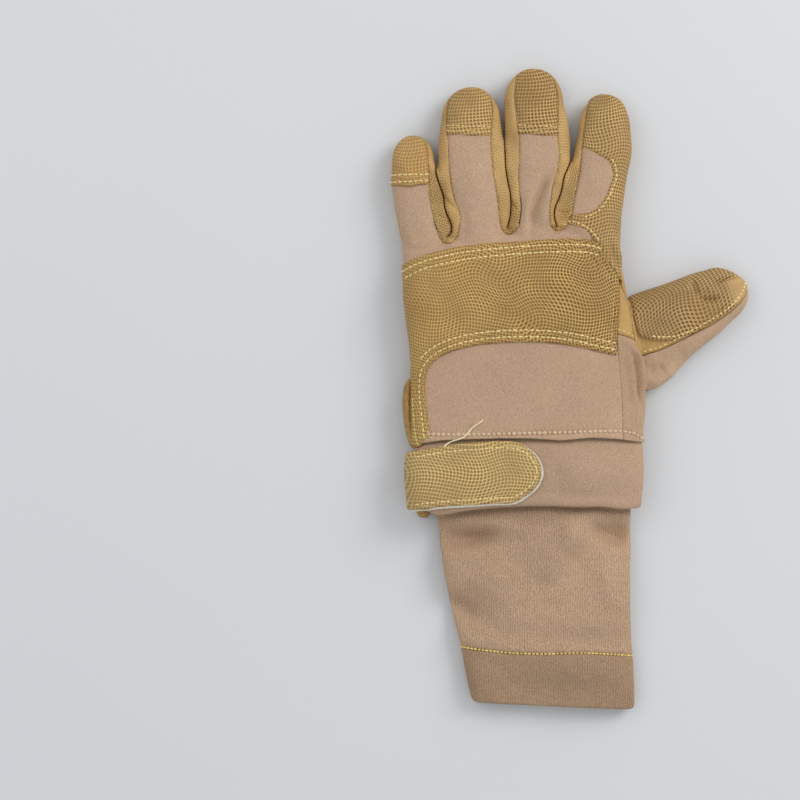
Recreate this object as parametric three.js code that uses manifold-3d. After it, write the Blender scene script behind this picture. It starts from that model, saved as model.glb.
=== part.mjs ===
// A flame-resistant tactical work glove for the left hand, lying palm down and empty.
// Millimetres, +Z up, fingers towards +Y, thumb towards +X, the origin under the middle of the glove.
// It is sewn from thin panels: a knitted back, a leather palm, leather strips between the fingers,
// leather guards on the back, a doubled wrist band, a leather strap and a long knitted gauntlet.
import * as THREE from "three";
import { mergeVertices } from "three/addons/utils/BufferGeometryUtils.js";
import Module from "manifold-3d";

const wasm = await Module();
wasm.setup();

// Walls and clearances
const SKIN = 1.4; // back fabric and palm leather
const GUARD_LEATHER = 1.2; // knuckle guard, fingertip caps, index and thumb guards
const BAND_WALL = 2.2; // two layers of fabric
const GAUNTLET_WALL = 1.3;
const HEM_WALL = 2.2; // the gauntlet's turned-up end
const STRAP_LEATHER = 1.8;
const STRAP_BACKING = 1.2; // the pale hook pad under the strap
const SEAM_GAP = 0.3; // between panels that meet in a seam
const LAYER_GAP = 0.3; // between a layer and what it lies on

// Hand
const PALM_LENGTH = 101; // wrist seam to the web between ring and middle finger
const PALM_WIDTH = 103;
const PALM_THICKNESS = 22;
const WEB_SLANT = 0.1; // the knuckle line rises this much per millimetre towards the thumb
const CROTCH_RADIUS = 5; // the round end of each strip between two fingers
const CROTCH_LAP = 2.2; // how far that round end reaches past the web
const BACK_SEAM_HEIGHT = 9; // where the back meets the palm round the outer sides
const STRIP_SEAM_HEIGHT = 5; // where the strips between the fingers meet the palm

// Fingers: length from the web to the tip, greatest width, thickness
const LITTLE = { length: 50.8, width: 23.5, thickness: 15.5 };
const RING = { length: 71.2, width: 32, thickness: 17 };
const MIDDLE = { length: 77.4, width: 30.7, thickness: 17.5 };
const INDEX = { length: 62.4, width: 30, thickness: 17 };
const THUMB = { length: 61, width: 46, thickness: 15.5, angle: 29 };

// Wrist band, gauntlet, strap
const BAND_LENGTH = 32.4;
const WRIST_WIDTH = 110;
const WRIST_THICKNESS = 16.5;
const GAUNTLET_TUCK = 30; // inside the band
const GAUNTLET_LENGTH = 70; // from the band's edge to the hem's stitching
const GAUNTLET_WIDTH = 93;
const GAUNTLET_THICKNESS = 12;
const HEM_LENGTH = 24.5;
const STRAP_WIDTH = 27.2;
const STRAP_REACH = 63; // from the outer side of the wrist to the rounded end
const STRAP_TURN_UNDER = 24; // the part that goes round under the wrist
const STRAP_TILT = 6; // degrees
const STRAP_OVERHANG = 2; // past the band's edges
const BACKING_RIM = 0.5; // the pad shows round the leather by this much
const ROLL_LENGTH = 36;
const ROLL_DEPTH = 4.6;
const ROLL_HEIGHT = 9;
const TAB_SET_IN = 2; // from the outer side of the wrist
const TAB_LENGTH = 4.5;
const TAB_WIDTH = 6.4;
const TAB_THICKNESS = 1.8;

// How finely each surface is faceted
const PALM_SIDES = 24;
const FINGER_SIDES = 14;
const CUFF_SIDES = 24;
const DOME_STEPS = 3;
const CROTCH_STEPS = 6;
const STRAP_END_STEPS = 8;
const ROLL_SIDES = 12;
const ROLL_STEPS = 6;
const FLATTENING = 1.15; // how strongly an underside is pressed flat by the surface that it lies on

const ROOM = 400; // larger than the glove, for cutting blocks
const PAST = 40; // how far a cutting outline runs past an edge
const BAND_LIFT = STRAP_LEATHER + STRAP_BACKING + 3 * LAYER_GAP;

// Solids

// A closed three.js geometry as a manifold solid.
function solidOf(geometry) {
  geometry.deleteAttribute("normal");
  geometry.deleteAttribute("uv");
  const merged = mergeVertices(geometry, 1e-4);
  return new wasm.Manifold(
    new wasm.Mesh({
      numProp: 3,
      vertProperties: merged.attributes.position.array,
      triVerts: new Uint32Array(merged.index.array),
    }),
  );
}

// A manifold solid as a three.js geometry.
function geometryOf(solid) {
  const mesh = solid.getMesh();
  const position = new Float32Array(mesh.numVert * 3);
  for (let i = 0; i < mesh.numVert; i++)
    for (let k = 0; k < 3; k++)
      position[3 * i + k] = mesh.vertProperties[mesh.numProp * i + k];
  const geometry = new THREE.BufferGeometry();
  geometry.setAttribute("position", new THREE.BufferAttribute(position, 3));
  geometry.setIndex(new THREE.BufferAttribute(new Uint32Array(mesh.triVerts), 1));
  return geometry;
}

// A flat outline, seen from above, raised to a block between two heights.
function block(outline, low, high) {
  const shape = new THREE.Shape(outline.map(([x, y]) => new THREE.Vector2(x, y)));
  const geometry = new THREE.ExtrudeGeometry(shape, { depth: high - low, bevelEnabled: false });
  geometry.translate(0, 0, low);
  return solidOf(geometry);
}

// The same outline with every edge moved outwards by a distance, or inwards if it is negative.
function grown(outline, distance) {
  const ccw = THREE.ShapeUtils.area(outline.map(([x, y]) => new THREE.Vector2(x, y))) > 0 ? 1 : -1;
  return outline.map((p, i) => {
    const before = outline[(i + outline.length - 1) % outline.length];
    const after = outline[(i + 1) % outline.length];
    const [a, b] = [
      [p[0] - before[0], p[1] - before[1]],
      [after[0] - p[0], after[1] - p[1]],
    ].map(([x, y]) => [(ccw * y) / Math.hypot(x, y), (-ccw * x) / Math.hypot(x, y)]);
    const length = 1 + a[0] * b[0] + a[1] * b[1];
    return [p[0] + (distance * (a[0] + b[0])) / length, p[1] + (distance * (a[1] + b[1])) / length];
  });
}

// A smooth line through a few points, as a list of points.
function smooth(points, steps) {
  const curve = new THREE.CatmullRomCurve3(points.map(([x, y]) => new THREE.Vector3(x, y, 0)));
  return curve.getPoints(steps).map((p) => [p.x, p.y]);
}

// Points on a circle of radius 1 between two angles.
function arcPoints(from, to, steps) {
  return Array.from({ length: steps + 1 }, (_, k) => {
    const turn = from + ((to - from) * k) / steps;
    return [Math.cos(turn), Math.sin(turn)];
  });
}

// Reads a column of a table between its rows.
function between(rows, key, value, column) {
  let i = 0;
  while (i < rows.length - 2 && value > rows[i + 1][key]) i++;
  const share = (value - rows[i][key]) / (rows[i + 1][key] - rows[i][key]);
  return rows[i][column] + share * (rows[i + 1][column] - rows[i][column]);
}

// Skins a row of sections. Each section has its place along, the middle across, half its width,
// its lowest and highest point and how square it is. place turns (across, along, height) into a point.
function loft(sections, sides, place, apex) {
  const points = [];
  for (const s of sections) {
    const middle = (s.low + s.high) / 2;
    const half = (s.high - s.low) / 2;
    for (let k = 0; k < sides; k++) {
      const turn = (2 * Math.PI * (k + 0.5)) / sides;
      const [c, n] = [Math.cos(turn), Math.sin(turn)];
      const across = s.middle + s.half * Math.sign(c) * Math.abs(c) ** (2 / s.square);
      const rise = Math.sign(n) * Math.abs(n) ** (2 / s.square);
      const height = Math.max(s.low, middle + half * rise * (n < 0 ? FLATTENING : 1));
      points.push(place(across, s.along + (s.slant ?? 0) * across, height));
    }
  }
  const faces = [];
  for (let i = 0; i + 1 < sections.length; i++)
    for (let k = 0; k < sides; k++) {
      const [a, b] = [i * sides + k, i * sides + ((k + 1) % sides)];
      faces.push([a, a + sides, b], [b, a + sides, b + sides]);
    }
  const [first, last] = [sections[0], sections[sections.length - 1]];
  const lastRing = (sections.length - 1) * sides;
  const centreOf = (s) => place(s.middle, s.along + (s.slant ?? 0) * s.middle, (s.low + s.high) / 2);
  points.push(centreOf(first), apex ?? centreOf(last));
  for (let k = 0; k < sides; k++) {
    faces.push([points.length - 2, k, (k + 1) % sides]);
    faces.push([points.length - 1, lastRing + ((k + 1) % sides), lastRing + k]);
  }
  const geometry = new THREE.BufferGeometry();
  geometry.setAttribute("position", new THREE.Float32BufferAttribute(points.flat(), 3));
  geometry.setIndex(faces.flat());
  const solid = solidOf(geometry);
  return solid.volume() > 0 ? solid : solidOf(turnedInsideOut(geometry));
}

function turnedInsideOut(geometry) {
  const index = Array.from(geometry.index.array);
  for (let i = 0; i < index.length; i += 3) [index[i], index[i + 1]] = [index[i + 1], index[i]];
  geometry.setIndex(index);
  return geometry;
}

// Adds a rounded tip past the last section. Its point is at a share of the section's height.
const TIP_HEIGHT_SHARE = 0.42;
function withTip(sections, length, pointedness) {
  const base = sections[sections.length - 1];
  const ground = base.low + TIP_HEIGHT_SHARE * (base.high - base.low);
  const rounded = [...sections];
  for (let step = 1; step < DOME_STEPS; step++) {
    const turn = (Math.PI / 2) * (step / DOME_STEPS);
    const scale = Math.cos(turn) ** pointedness;
    rounded.push({
      ...base,
      along: base.along + length * Math.sin(turn),
      half: base.half * scale,
      low: ground - (ground - base.low) * scale,
      high: ground + (base.high - ground) * scale,
    });
  }
  return { rounded, tip: { across: base.middle, along: base.along + length, height: ground } };
}

// Hand form: palm, fingers and thumb, grown by any distance so that layers follow each other.

// at: share of PALM_LENGTH from the wrist. left, right: shares of PALM_WIDTH.
// low, high: shares of PALM_THICKNESS.
const PALM_ROWS = [
  { at: 0, left: -0.531, right: 0.531, low: 0.1, high: 0.97 },
  { at: 0.143, left: -0.541, right: 0.546, low: 0.02, high: 0.95 },
  { at: 0.3, left: -0.538, right: 0.54, low: 0, high: 0.97 },
  { at: 0.43, left: -0.541, right: 0.517, low: 0, high: 0.99 },
  { at: 0.57, left: -0.554, right: 0.48, low: 0, high: 1 },
  { at: 0.7, left: -0.567, right: 0.45, low: 0, high: 1 },
  { at: 0.85, left: -0.578, right: 0.424, low: 0, high: 0.95 },
  { at: 0.93, left: -0.585, right: 0.421, low: 0.02, high: 0.85 },
  { at: 0.975, left: -0.589, right: 0.423, low: 0.12, high: 0.72 },
  { at: 1, left: -0.592, right: 0.426, low: 0.26, high: 0.56 },
];
const PALM_SQUARENESS = 2.7;

// base: the finger's middle at the web, a share of PALM_WIDTH. leftEdge, rightEdge: the back panel's edges at
// the base and the tip, shares of the width. Rows: at, a share of the length; shift and wide, shares of the
// width; low and high, shares of the thickness. The tip starts at the last row.
const FINGERS = [
  {
    name: "little", size: LITTLE, base: -0.476, leftEdge: [-0.75, -0.75], rightEdge: [0.27, 0.34],
    rows: [
      { at: -0.28, shift: 0.1, wide: 0.9, low: 0.1, high: 1 },
      { at: 0, shift: 0, wide: 1, low: 0.02, high: 1 },
      { at: 0.2, shift: -0.08, wide: 1.02, low: 0, high: 0.98 },
      { at: 0.4, shift: -0.15, wide: 1.04, low: 0, high: 0.96 },
      { at: 0.6, shift: -0.22, wide: 0.97, low: 0, high: 0.95 },
      { at: 0.75, shift: -0.255, wide: 0.86, low: 0, high: 0.9 },
    ],
  },
  {
    name: "ring", size: RING, base: -0.224, leftEdge: [-0.34, -0.34], rightEdge: [0.29, 0.31],
    rows: [
      { at: -0.22, shift: 0.01, wide: 0.88, low: 0.1, high: 1 },
      { at: 0, shift: 0, wide: 0.87, low: 0.02, high: 1.02 },
      { at: 0.22, shift: -0.015, wide: 0.97, low: 0, high: 1 },
      { at: 0.43, shift: -0.105, wide: 1, low: 0.02, high: 0.98 },
      { at: 0.64, shift: -0.135, wide: 0.97, low: 0.02, high: 0.95 },
      { at: 0.77, shift: -0.135, wide: 0.89, low: 0, high: 0.88 },
    ],
  },
  {
    name: "middle", size: MIDDLE, base: 0.023, leftEdge: [-0.34, -0.29], rightEdge: [0.29, 0.32],
    rows: [
      { at: -0.2, shift: 0, wide: 0.8, low: 0.1, high: 1 },
      { at: 0, shift: 0, wide: 0.74, low: 0.02, high: 1.02 },
      { at: 0.18, shift: 0.04, wide: 0.76, low: 0, high: 1 },
      { at: 0.3, shift: 0.08, wide: 0.89, low: 0.02, high: 0.98 },
      { at: 0.45, shift: 0.08, wide: 0.99, low: 0.03, high: 0.97 },
      { at: 0.62, shift: 0.06, wide: 1, low: 0.02, high: 0.96 },
      { at: 0.8, shift: 0.01, wide: 0.915, low: 0, high: 0.88 },
    ],
  },
  {
    name: "index", size: INDEX, base: 0.28, leftEdge: [-0.31, -0.39], rightEdge: [0.4, 0.36],
    rows: [
      { at: -0.26, shift: 0, wide: 0.9, low: 0.1, high: 1 },
      { at: 0, shift: 0, wide: 0.99, low: 0.02, high: 1.04 },
      { at: 0.2, shift: 0.055, wide: 0.98, low: 0, high: 1 },
      { at: 0.4, shift: 0.16, wide: 0.91, low: 0.02, high: 0.98 },
      { at: 0.58, shift: 0.23, wide: 0.88, low: 0.02, high: 0.95 },
      { at: 0.72, shift: 0.256, wide: 0.8, low: 0, high: 0.9 },
    ],
  },
];
const INDEX_FINGER = FINGERS[FINGERS.length - 1];
const FINGER_SQUARENESS = 2.3;

// Shares of the thumb's length, width and thickness. The base lies inside the palm.
const THUMB_ROWS = [
  { at: -0.22, wide: 0.86, low: 0.08, high: 0.7 },
  { at: 0, wide: 1, low: 0, high: 0.76 },
  { at: 0.18, wide: 0.95, low: 0, high: 0.86 },
  { at: 0.34, wide: 0.89, low: 0, high: 0.96 },
  { at: 0.5, wide: 0.83, low: 0.02, high: 1 },
  { at: 0.65, wide: 0.75, low: 0.02, high: 0.99 },
  { at: 0.76, wide: 0.66, low: 0, high: 0.94 },
];
const THUMB_BASE = { across: 0.508, along: 0.447 }; // shares of PALM_WIDTH and PALM_LENGTH
const THUMB_POINTEDNESS = 1.25;

const asIs = (x, y, z) => [x, y, z];
const webAt = (x) => PALM_LENGTH + WEB_SLANT * x;
const edgeAt = (y, side) => PALM_WIDTH * between(PALM_ROWS, "at", y / PALM_LENGTH, side);

function palmForm(grow) {
  const sections = PALM_ROWS.map((r, i) => {
    const end = i === 0 ? -2 * SKIN : i === PALM_ROWS.length - 1 ? grow : 0;
    return {
      along: r.at * PALM_LENGTH + end,
      slant: WEB_SLANT * r.at,
      middle: ((r.left + r.right) / 2) * PALM_WIDTH,
      half: ((r.right - r.left) / 2) * PALM_WIDTH + grow,
      low: r.low * PALM_THICKNESS - grow,
      high: r.high * PALM_THICKNESS + grow,
      square: PALM_SQUARENESS,
    };
  });
  return loft(sections, PALM_SIDES, asIs);
}

const fingerMiddle = (finger, at) =>
  finger.base * PALM_WIDTH + between(finger.rows, "at", at, "shift") * finger.size.width;
const fingerWidth = (finger, at) => between(finger.rows, "at", at, "wide") * finger.size.width;
const fingerAlong = (finger, at) => webAt(finger.base * PALM_WIDTH) + at * finger.size.length;

function fingerForm(finger, grow) {
  const { length, width, thickness } = finger.size;
  const sections = finger.rows.map((r) => ({
    along: fingerAlong(finger, r.at),
    middle: finger.base * PALM_WIDTH + r.shift * width,
    half: (r.wide * width) / 2 + grow,
    low: r.low * thickness - grow,
    high: r.high * thickness + grow,
    square: FINGER_SQUARENESS,
  }));
  const tipLength = (1 - finger.rows[finger.rows.length - 1].at) * length + grow;
  const { rounded, tip } = withTip(sections, tipLength, 1);
  return loft(rounded, FINGER_SIDES, asIs, asIs(tip.across, tip.along, tip.height));
}

// The thumb's own axis runs out from the side of the palm.
function thumbPlace(across, along, height) {
  const turn = THREE.MathUtils.degToRad(THUMB.angle);
  return [
    THUMB_BASE.across * PALM_WIDTH + along * Math.cos(turn) - across * Math.sin(turn),
    THUMB_BASE.along * PALM_LENGTH + along * Math.sin(turn) + across * Math.cos(turn),
    height,
  ];
}

function thumbForm(grow) {
  const sections = THUMB_ROWS.map((r) => ({
    along: r.at * THUMB.length,
    middle: 0,
    half: (r.wide * THUMB.width) / 2 + grow,
    low: r.low * THUMB.thickness - grow,
    high: r.high * THUMB.thickness + grow,
    square: FINGER_SQUARENESS,
  }));
  const tipLength = (1 - THUMB_ROWS[THUMB_ROWS.length - 1].at) * THUMB.length + grow;
  const { rounded, tip } = withTip(sections, tipLength, THUMB_POINTEDNESS);
  return loft(rounded, FINGER_SIDES, thumbPlace, thumbPlace(tip.across, tip.along, tip.height));
}

function handForm(grow) {
  const forms = [palmForm(grow), ...FINGERS.map((f) => fingerForm(f, grow)), thumbForm(grow)];
  return forms.reduce((all, form) => all.add(form));
}

const pastWrist = block([[-ROOM, 0], [ROOM, 0], [ROOM, ROOM], [-ROOM, ROOM]], -ROOM, ROOM);
const handSkin = handForm(0).subtract(handForm(-SKIN)).intersect(pastWrist);
const guardLayer = handForm(LAYER_GAP + GUARD_LEATHER).subtract(handForm(LAYER_GAP)).intersect(pastWrist);

// Panel outlines, seen from above

const u = (share) => share * PALM_WIDTH;
const v = (share) => share * PALM_LENGTH;

// The line where a finger's back panel ends on one side, from the web to past the tip.
function backEdge(finger, side) {
  const [atBase, atTip] = finger[side];
  const line = [0.14, 0.3, 0.45, 0.6, 0.75].map((at) => [
    fingerMiddle(finger, at) + (atBase + (atTip - atBase) * at) * fingerWidth(finger, at),
    fingerAlong(finger, at),
  ]);
  const past = line[line.length - 1][0];
  return [...line, [past, fingerAlong(finger, 1) + PAST]];
}

// The strip of leather between two fingers: up one finger, round the crotch and up the next.
function stripOutline(left, right) {
  const [up, down] = [backEdge(left, "rightEdge"), backEdge(right, "leftEdge")];
  const middle = (up[0][0] + down[0][0]) / 2;
  const centre = webAt(middle) - CROTCH_LAP + CROTCH_RADIUS;
  const round = arcPoints(Math.PI, 2 * Math.PI, CROTCH_STEPS).map(([c, n]) => [
    middle + CROTCH_RADIUS * c,
    centre + CROTCH_RADIUS * n,
  ]);
  return [...up.reverse(), ...round, ...down];
}
const STRIPS = FINGERS.slice(1).map((finger, i) => ({
  name: `strip_${FINGERS[i].name}_${finger.name}`,
  outline: stripOutline(FINGERS[i], finger),
}));

// The line down the thumb side where the back fabric stops, from the index tip to the wrist.
const BACK_SIDE_LINE = [
  [0.37, 1.02],
  [0.368, 0.93],
  [0.4, 0.8],
  [0.414, 0.72],
  [0.413, 0.5],
  [0.43, 0.32],
  [0.435, 0.15],
  [0.443, -0.05],
].map(([a, b]) => [u(a), v(b)]);
const backOutline = [
  [-ROOM, v(-0.05)],
  [-ROOM, ROOM],
  ...backEdge(INDEX_FINGER, "rightEdge").reverse(),
  ...BACK_SIDE_LINE,
];

// The fabric panel between the back and the thumb, below the leather of the thumb crotch.
const sideOutline = [
  ...BACK_SIDE_LINE.slice(4),
  [ROOM, v(-0.05)],
  [ROOM, v(0.38)],
  [u(0.56), v(0.4)],
  [u(0.515), v(0.445)],
  [u(0.47), v(0.485)],
];

// Everything of the hand that lies outside the palm's own edge belongs to the thumb.
const thumbEdge = [0.16, 0.25, 0.35, 0.45, 0.55, 0.65, 0.72].map((at) => [edgeAt(v(at), "right"), v(at)]);
const thumbOutline = [
  ...thumbEdge,
  [u(0.49), v(0.77)],
  [u(0.49), v(1)],
  [ROOM, v(1)],
  [ROOM, v(-0.4)],
  [u(0.56), v(-0.4)],
];

// The curve where the thumb's leather meets its fabric, in the thumb's own directions.
const THUMB_SEAM = [
  { at: -0.2, across: -0.24 },
  { at: 0.15, across: -0.17 },
  { at: 0.4, across: -0.16 },
  { at: 0.6, across: -0.19 },
  { at: 0.8, across: -0.17 },
  { at: 0.95, across: -0.06 },
  { at: 1.1, across: 0.1 },
].map((r) => thumbPlace(r.across * THUMB.width, r.at * THUMB.length, 0).slice(0, 2));
const thumbLowerOutline = [
  ...smooth(THUMB_SEAM, 10),
  thumbPlace(-THUMB.width, 1.3 * THUMB.length, 0).slice(0, 2),
  thumbPlace(-THUMB.width * 1.5, -0.2 * THUMB.length, 0).slice(0, 2),
];

// Guards

const KNUCKLE_TOP = [
  [-0.68, 0.835],
  [-0.545, 0.86],
  [-0.405, 0.89],
  [-0.22, 0.912],
  [-0.03, 0.936],
  [0.155, 0.945],
  [0.312, 0.936],
];
const KNUCKLE_SIDE = [
  [0.36, 0.845],
  [0.39, 0.79],
  [0.407, 0.735],
  [0.412, 0.6],
  [0.407, 0.4],
];
const KNUCKLE_BOTTOM = [
  [0.34, 0.404],
  [0.25, 0.425],
  [0.1, 0.45],
  [-0.03, 0.461],
  [-0.17, 0.454],
  [-0.29, 0.432],
  [-0.385, 0.404],
  [-0.44, 0.37],
  [-0.464, 0.32],
  [-0.466, 0.25],
  [-0.466, 0.1],
  [-0.46, 0.022],
];
const knuckleOutline = [
  ...smooth(KNUCKLE_TOP.map(([a, b]) => [u(a), v(b)]), 8),
  ...smooth(KNUCKLE_SIDE.map(([a, b]) => [u(a), v(b)]), 5),
  ...smooth(KNUCKLE_BOTTOM.map(([a, b]) => [u(a), v(b)]), 16),
  [u(-0.68), v(0.022)],
];

// The cap of a finger, from a line across the back panel to past the tip.
function capOutline(finger, fromLeft, fromRight) {
  const [left, right] = [backEdge(finger, "leftEdge"), backEdge(finger, "rightEdge")];
  const past = (line, at) => line.filter(([, y]) => y > fingerAlong(finger, at) + SEAM_GAP);
  const crossing = (side, at) => {
    const [atBase, atTip] = finger[side];
    return [
      fingerMiddle(finger, at) + (atBase + (atTip - atBase) * at) * fingerWidth(finger, at),
      fingerAlong(finger, at),
    ];
  };
  return [
    crossing("leftEdge", fromLeft),
    ...past(left, fromLeft),
    ...past(right, fromRight).reverse(),
    crossing("rightEdge", fromRight),
  ];
}
const CAPS = [
  { finger: FINGERS[0], fromLeft: 0.5, fromRight: 0.5 },
  { finger: FINGERS[1], fromLeft: 0.67, fromRight: 0.655 },
  { finger: FINGERS[2], fromLeft: 0.577, fromRight: 0.577 },
];

// The index guard covers the tip, runs down the thumb side and turns in below a window of fabric.
// Shares of the index finger's length from the web, and of its width from the finger's middle at the web.
const onIndex = ([across, at]) => [
  u(INDEX_FINGER.base) + across * INDEX.width,
  fingerAlong(INDEX_FINGER, at),
];
const WINDOW = [
  [-0.13, 0.572],
  [0.03, 0.565],
  [0.19, 0.503],
  [0.33, 0.465],
  [0.385, 0.36],
  [0.33, 0.25],
  [0.22, 0.15],
  [0.07, 0.08],
  [-0.13, 0.075],
  [-0.33, 0.082],
];
const BAND_UNDER_WINDOW = [
  [-0.42, -0.015],
  [-0.2, -0.02],
  [-0.06, -0.055],
  [0.06, -0.1],
  [0.14, -0.17],
];
const guardSide = KNUCKLE_SIDE.map(([a, b]) => [u(a) + SEAM_GAP, v(b)]);
const indexGuardOutline = [
  ...backEdge(INDEX_FINGER, "leftEdge").slice(3).reverse(),
  ...smooth(WINDOW.map(onIndex), 14),
  ...smooth(BAND_UNDER_WINDOW.map(onIndex), 6),
  ...guardSide.slice(0, 3),
  [u(0.435), v(0.745)],
  [u(0.6), v(0.72)],
  [u(0.6), ROOM],
];

// The textured leather that laps over the front of the thumb, down to a fold near the ground.
const THUMB_FOLD_HEIGHT = 4;
const THUMB_GUARD_EDGE = [
  { at: -0.1, across: -0.1 },
  { at: 0.06, across: -0.1 },
  { at: 0.2, across: -0.13 },
  { at: 0.4, across: -0.15 },
  { at: 0.55, across: -0.175 },
  { at: 0.66, across: -0.16 },
  { at: 0.73, across: -0.05 },
  { at: 0.74, across: 0.1 },
  { at: 0.7, across: 0.3 },
  { at: 0.68, across: 0.6 },
].map((r) => thumbPlace(r.across * THUMB.width, r.at * THUMB.length, 0).slice(0, 2));
const thumbGuardOutline = [
  ...smooth(THUMB_GUARD_EDGE, 14),
  thumbPlace(0.75 * THUMB.width, -0.1 * THUMB.length, 0).slice(0, 2),
];

// Sewn panels

const half = SEAM_GAP / 2;
const above = (outline, low, grow = 0) => block(grown(outline, grow), low, ROOM);
const through = (outline, grow = 0) => block(grown(outline, grow), -ROOM, ROOM);

function backPanel() {
  const cut = STRIPS.reduce(
    (solid, strip) => solid.subtract(above(strip.outline, STRIP_SEAM_HEIGHT, half)),
    handSkin.intersect(above(backOutline, BACK_SEAM_HEIGHT + half, -half)),
  );
  return largest(cut.subtract(through(thumbOutline, half)));
}

function palmPanel() {
  const open = STRIPS.reduce(
    (solid, strip) => solid.subtract(above(strip.outline, STRIP_SEAM_HEIGHT - half, half)),
    handSkin.subtract(above(backOutline, BACK_SEAM_HEIGHT - half, half)),
  );
  return largest(
    open
      .subtract(above(sideOutline, BACK_SEAM_HEIGHT - half, half))
      .subtract(through(thumbOutline, half)),
  );
}

// A cut can leave a crumb where two seams meet: the panel is the largest body.
function largest(solid) {
  return solid.decompose().reduce((best, body) => (body.volume() > best.volume() ? body : best));
}

const thumbSkin = handSkin.intersect(through(thumbOutline, -half));
const panels = {
  back_fabric: backPanel(),
  palm_leather: palmPanel(),
  side_panel: largest(
    handSkin
      .intersect(above(sideOutline, BACK_SEAM_HEIGHT + half, -half))
      .subtract(through(thumbOutline, half)),
  ),
  thumb_fabric: largest(thumbSkin.intersect(through(thumbLowerOutline, -half))),
  thumb_leather: largest(thumbSkin.subtract(through(thumbLowerOutline, half))),
};
for (const strip of STRIPS)
  panels[strip.name] = largest(
    handSkin.intersect(above(strip.outline, STRIP_SEAM_HEIGHT + half, -half)),
  );

const guards = {
  knuckle_guard: largest(
    guardLayer
      .intersect(above(knuckleOutline, BACK_SEAM_HEIGHT + half, -half))
      .subtract(through(thumbOutline, half)),
  ),
  index_guard: largest(
    guardLayer
      .intersect(above(indexGuardOutline, BACK_SEAM_HEIGHT + half, -half))
      .subtract(above(STRIPS[2].outline, STRIP_SEAM_HEIGHT, half)),
  ),
  thumb_guard: largest(
    guardLayer
      .intersect(above(thumbGuardOutline, THUMB_FOLD_HEIGHT, -half))
      .intersect(through(thumbOutline, -half - LAYER_GAP - GUARD_LEATHER)),
  ),
};
for (const { finger, fromLeft, fromRight } of CAPS)
  guards[`${finger.name}_cap`] = largest(
    guardLayer.intersect(
      above(capOutline(finger, fromLeft, fromRight), BACK_SEAM_HEIGHT + half, -half),
    ),
  );

// Wrist band: two layers of fabric, open at both ends

// at: share of the length. left, right: shares of the width. low, high: shares of the thickness above the lift.
const BAND_ROWS = [
  { at: 0, left: -0.497, right: 0.497, low: 0, high: 1 },
  { at: 0.5, left: -0.51, right: 0.502, low: 0, high: 1.02 },
  { at: 1, left: -0.503, right: 0.49, low: 0, high: 0.98 },
];
const CUFF_SQUARENESS = 3;

function bandForm(grow, past) {
  const sections = BAND_ROWS.map((r) => ({
    along: -SEAM_GAP - r.at * (BAND_LENGTH - SEAM_GAP),
    middle: ((r.left + r.right) / 2) * WRIST_WIDTH,
    half: ((r.right - r.left) / 2) * WRIST_WIDTH + grow,
    low: BAND_LIFT + r.low * WRIST_THICKNESS - grow,
    high: BAND_LIFT + r.high * WRIST_THICKNESS + grow,
    square: CUFF_SQUARENESS,
  }));
  sections[0].along += past;
  sections[sections.length - 1].along -= past;
  return loft(sections, CUFF_SIDES, asIs);
}
const wristBand = bandForm(0, 0).subtract(bandForm(-BAND_WALL, 1));

// Gauntlet: a slack sleeve that comes out of the band and lies down flat

// at: share of the length, from the band's edge. held: 1 inside the band, 0 where the sleeve lies on the
// ground. left, right, high: shares of the room inside the band where it is held, and of the sleeve's width and
// thickness where it is not.
const GAUNTLET_ROWS = [
  { at: 0, left: -0.445, right: 0.47, held: 1, high: 0.93 },
  { at: 0.08, left: -0.43, right: 0.485, held: 0.7, high: 0.97 },
  { at: 0.256, left: -0.441, right: 0.518, held: 0.2, high: 1 },
  { at: 0.43, left: -0.435, right: 0.527, held: 0, high: 0.97 },
  { at: 0.62, left: -0.405, right: 0.527, held: 0, high: 0.95 },
  { at: 0.825, left: -0.372, right: 0.532, held: 0, high: 0.9 },
  { at: 1, left: -0.346, right: 0.542, held: 0, high: 0.86 },
  { at: 1.19, left: -0.316, right: 0.55, held: 0, high: 0.84 },
  { at: 1.36, left: -0.284, right: 0.552, held: 0, high: 0.82 },
];
const MOUTH_SLANT = -0.045; // the hem's end is not quite square

// Slack dents in the upper side. Shares of the gauntlet's width and length, and of its thickness.
const GAUNTLET_DENTS = [
  { across: -0.36, along: 0.23, wide: 0.14, long: 0.09, depth: 0.2 },
  { across: 0.42, along: 0.17, wide: 0.13, long: 0.13, depth: 0.22 },
  { across: -0.3, along: 0.66, wide: 0.12, long: 0.13, depth: 0.18 },
  { across: 0.2, along: 0.31, wide: 0.1, long: 0.12, depth: -0.12 },
];

function dented([x, y, z]) {
  const along = -(y + BAND_LENGTH) / GAUNTLET_LENGTH;
  const share = THREE.MathUtils.smoothstep(z, 0.4 * GAUNTLET_THICKNESS, 0.8 * GAUNTLET_THICKNESS);
  const drop = GAUNTLET_DENTS.reduce((sum, d) => {
    const away = ((x / GAUNTLET_WIDTH - d.across) / d.wide) ** 2 + ((along - d.along) / d.long) ** 2;
    return sum + d.depth * Math.exp(-away);
  }, 0);
  return [x, y, z - drop * share * GAUNTLET_THICKNESS];
}

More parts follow.
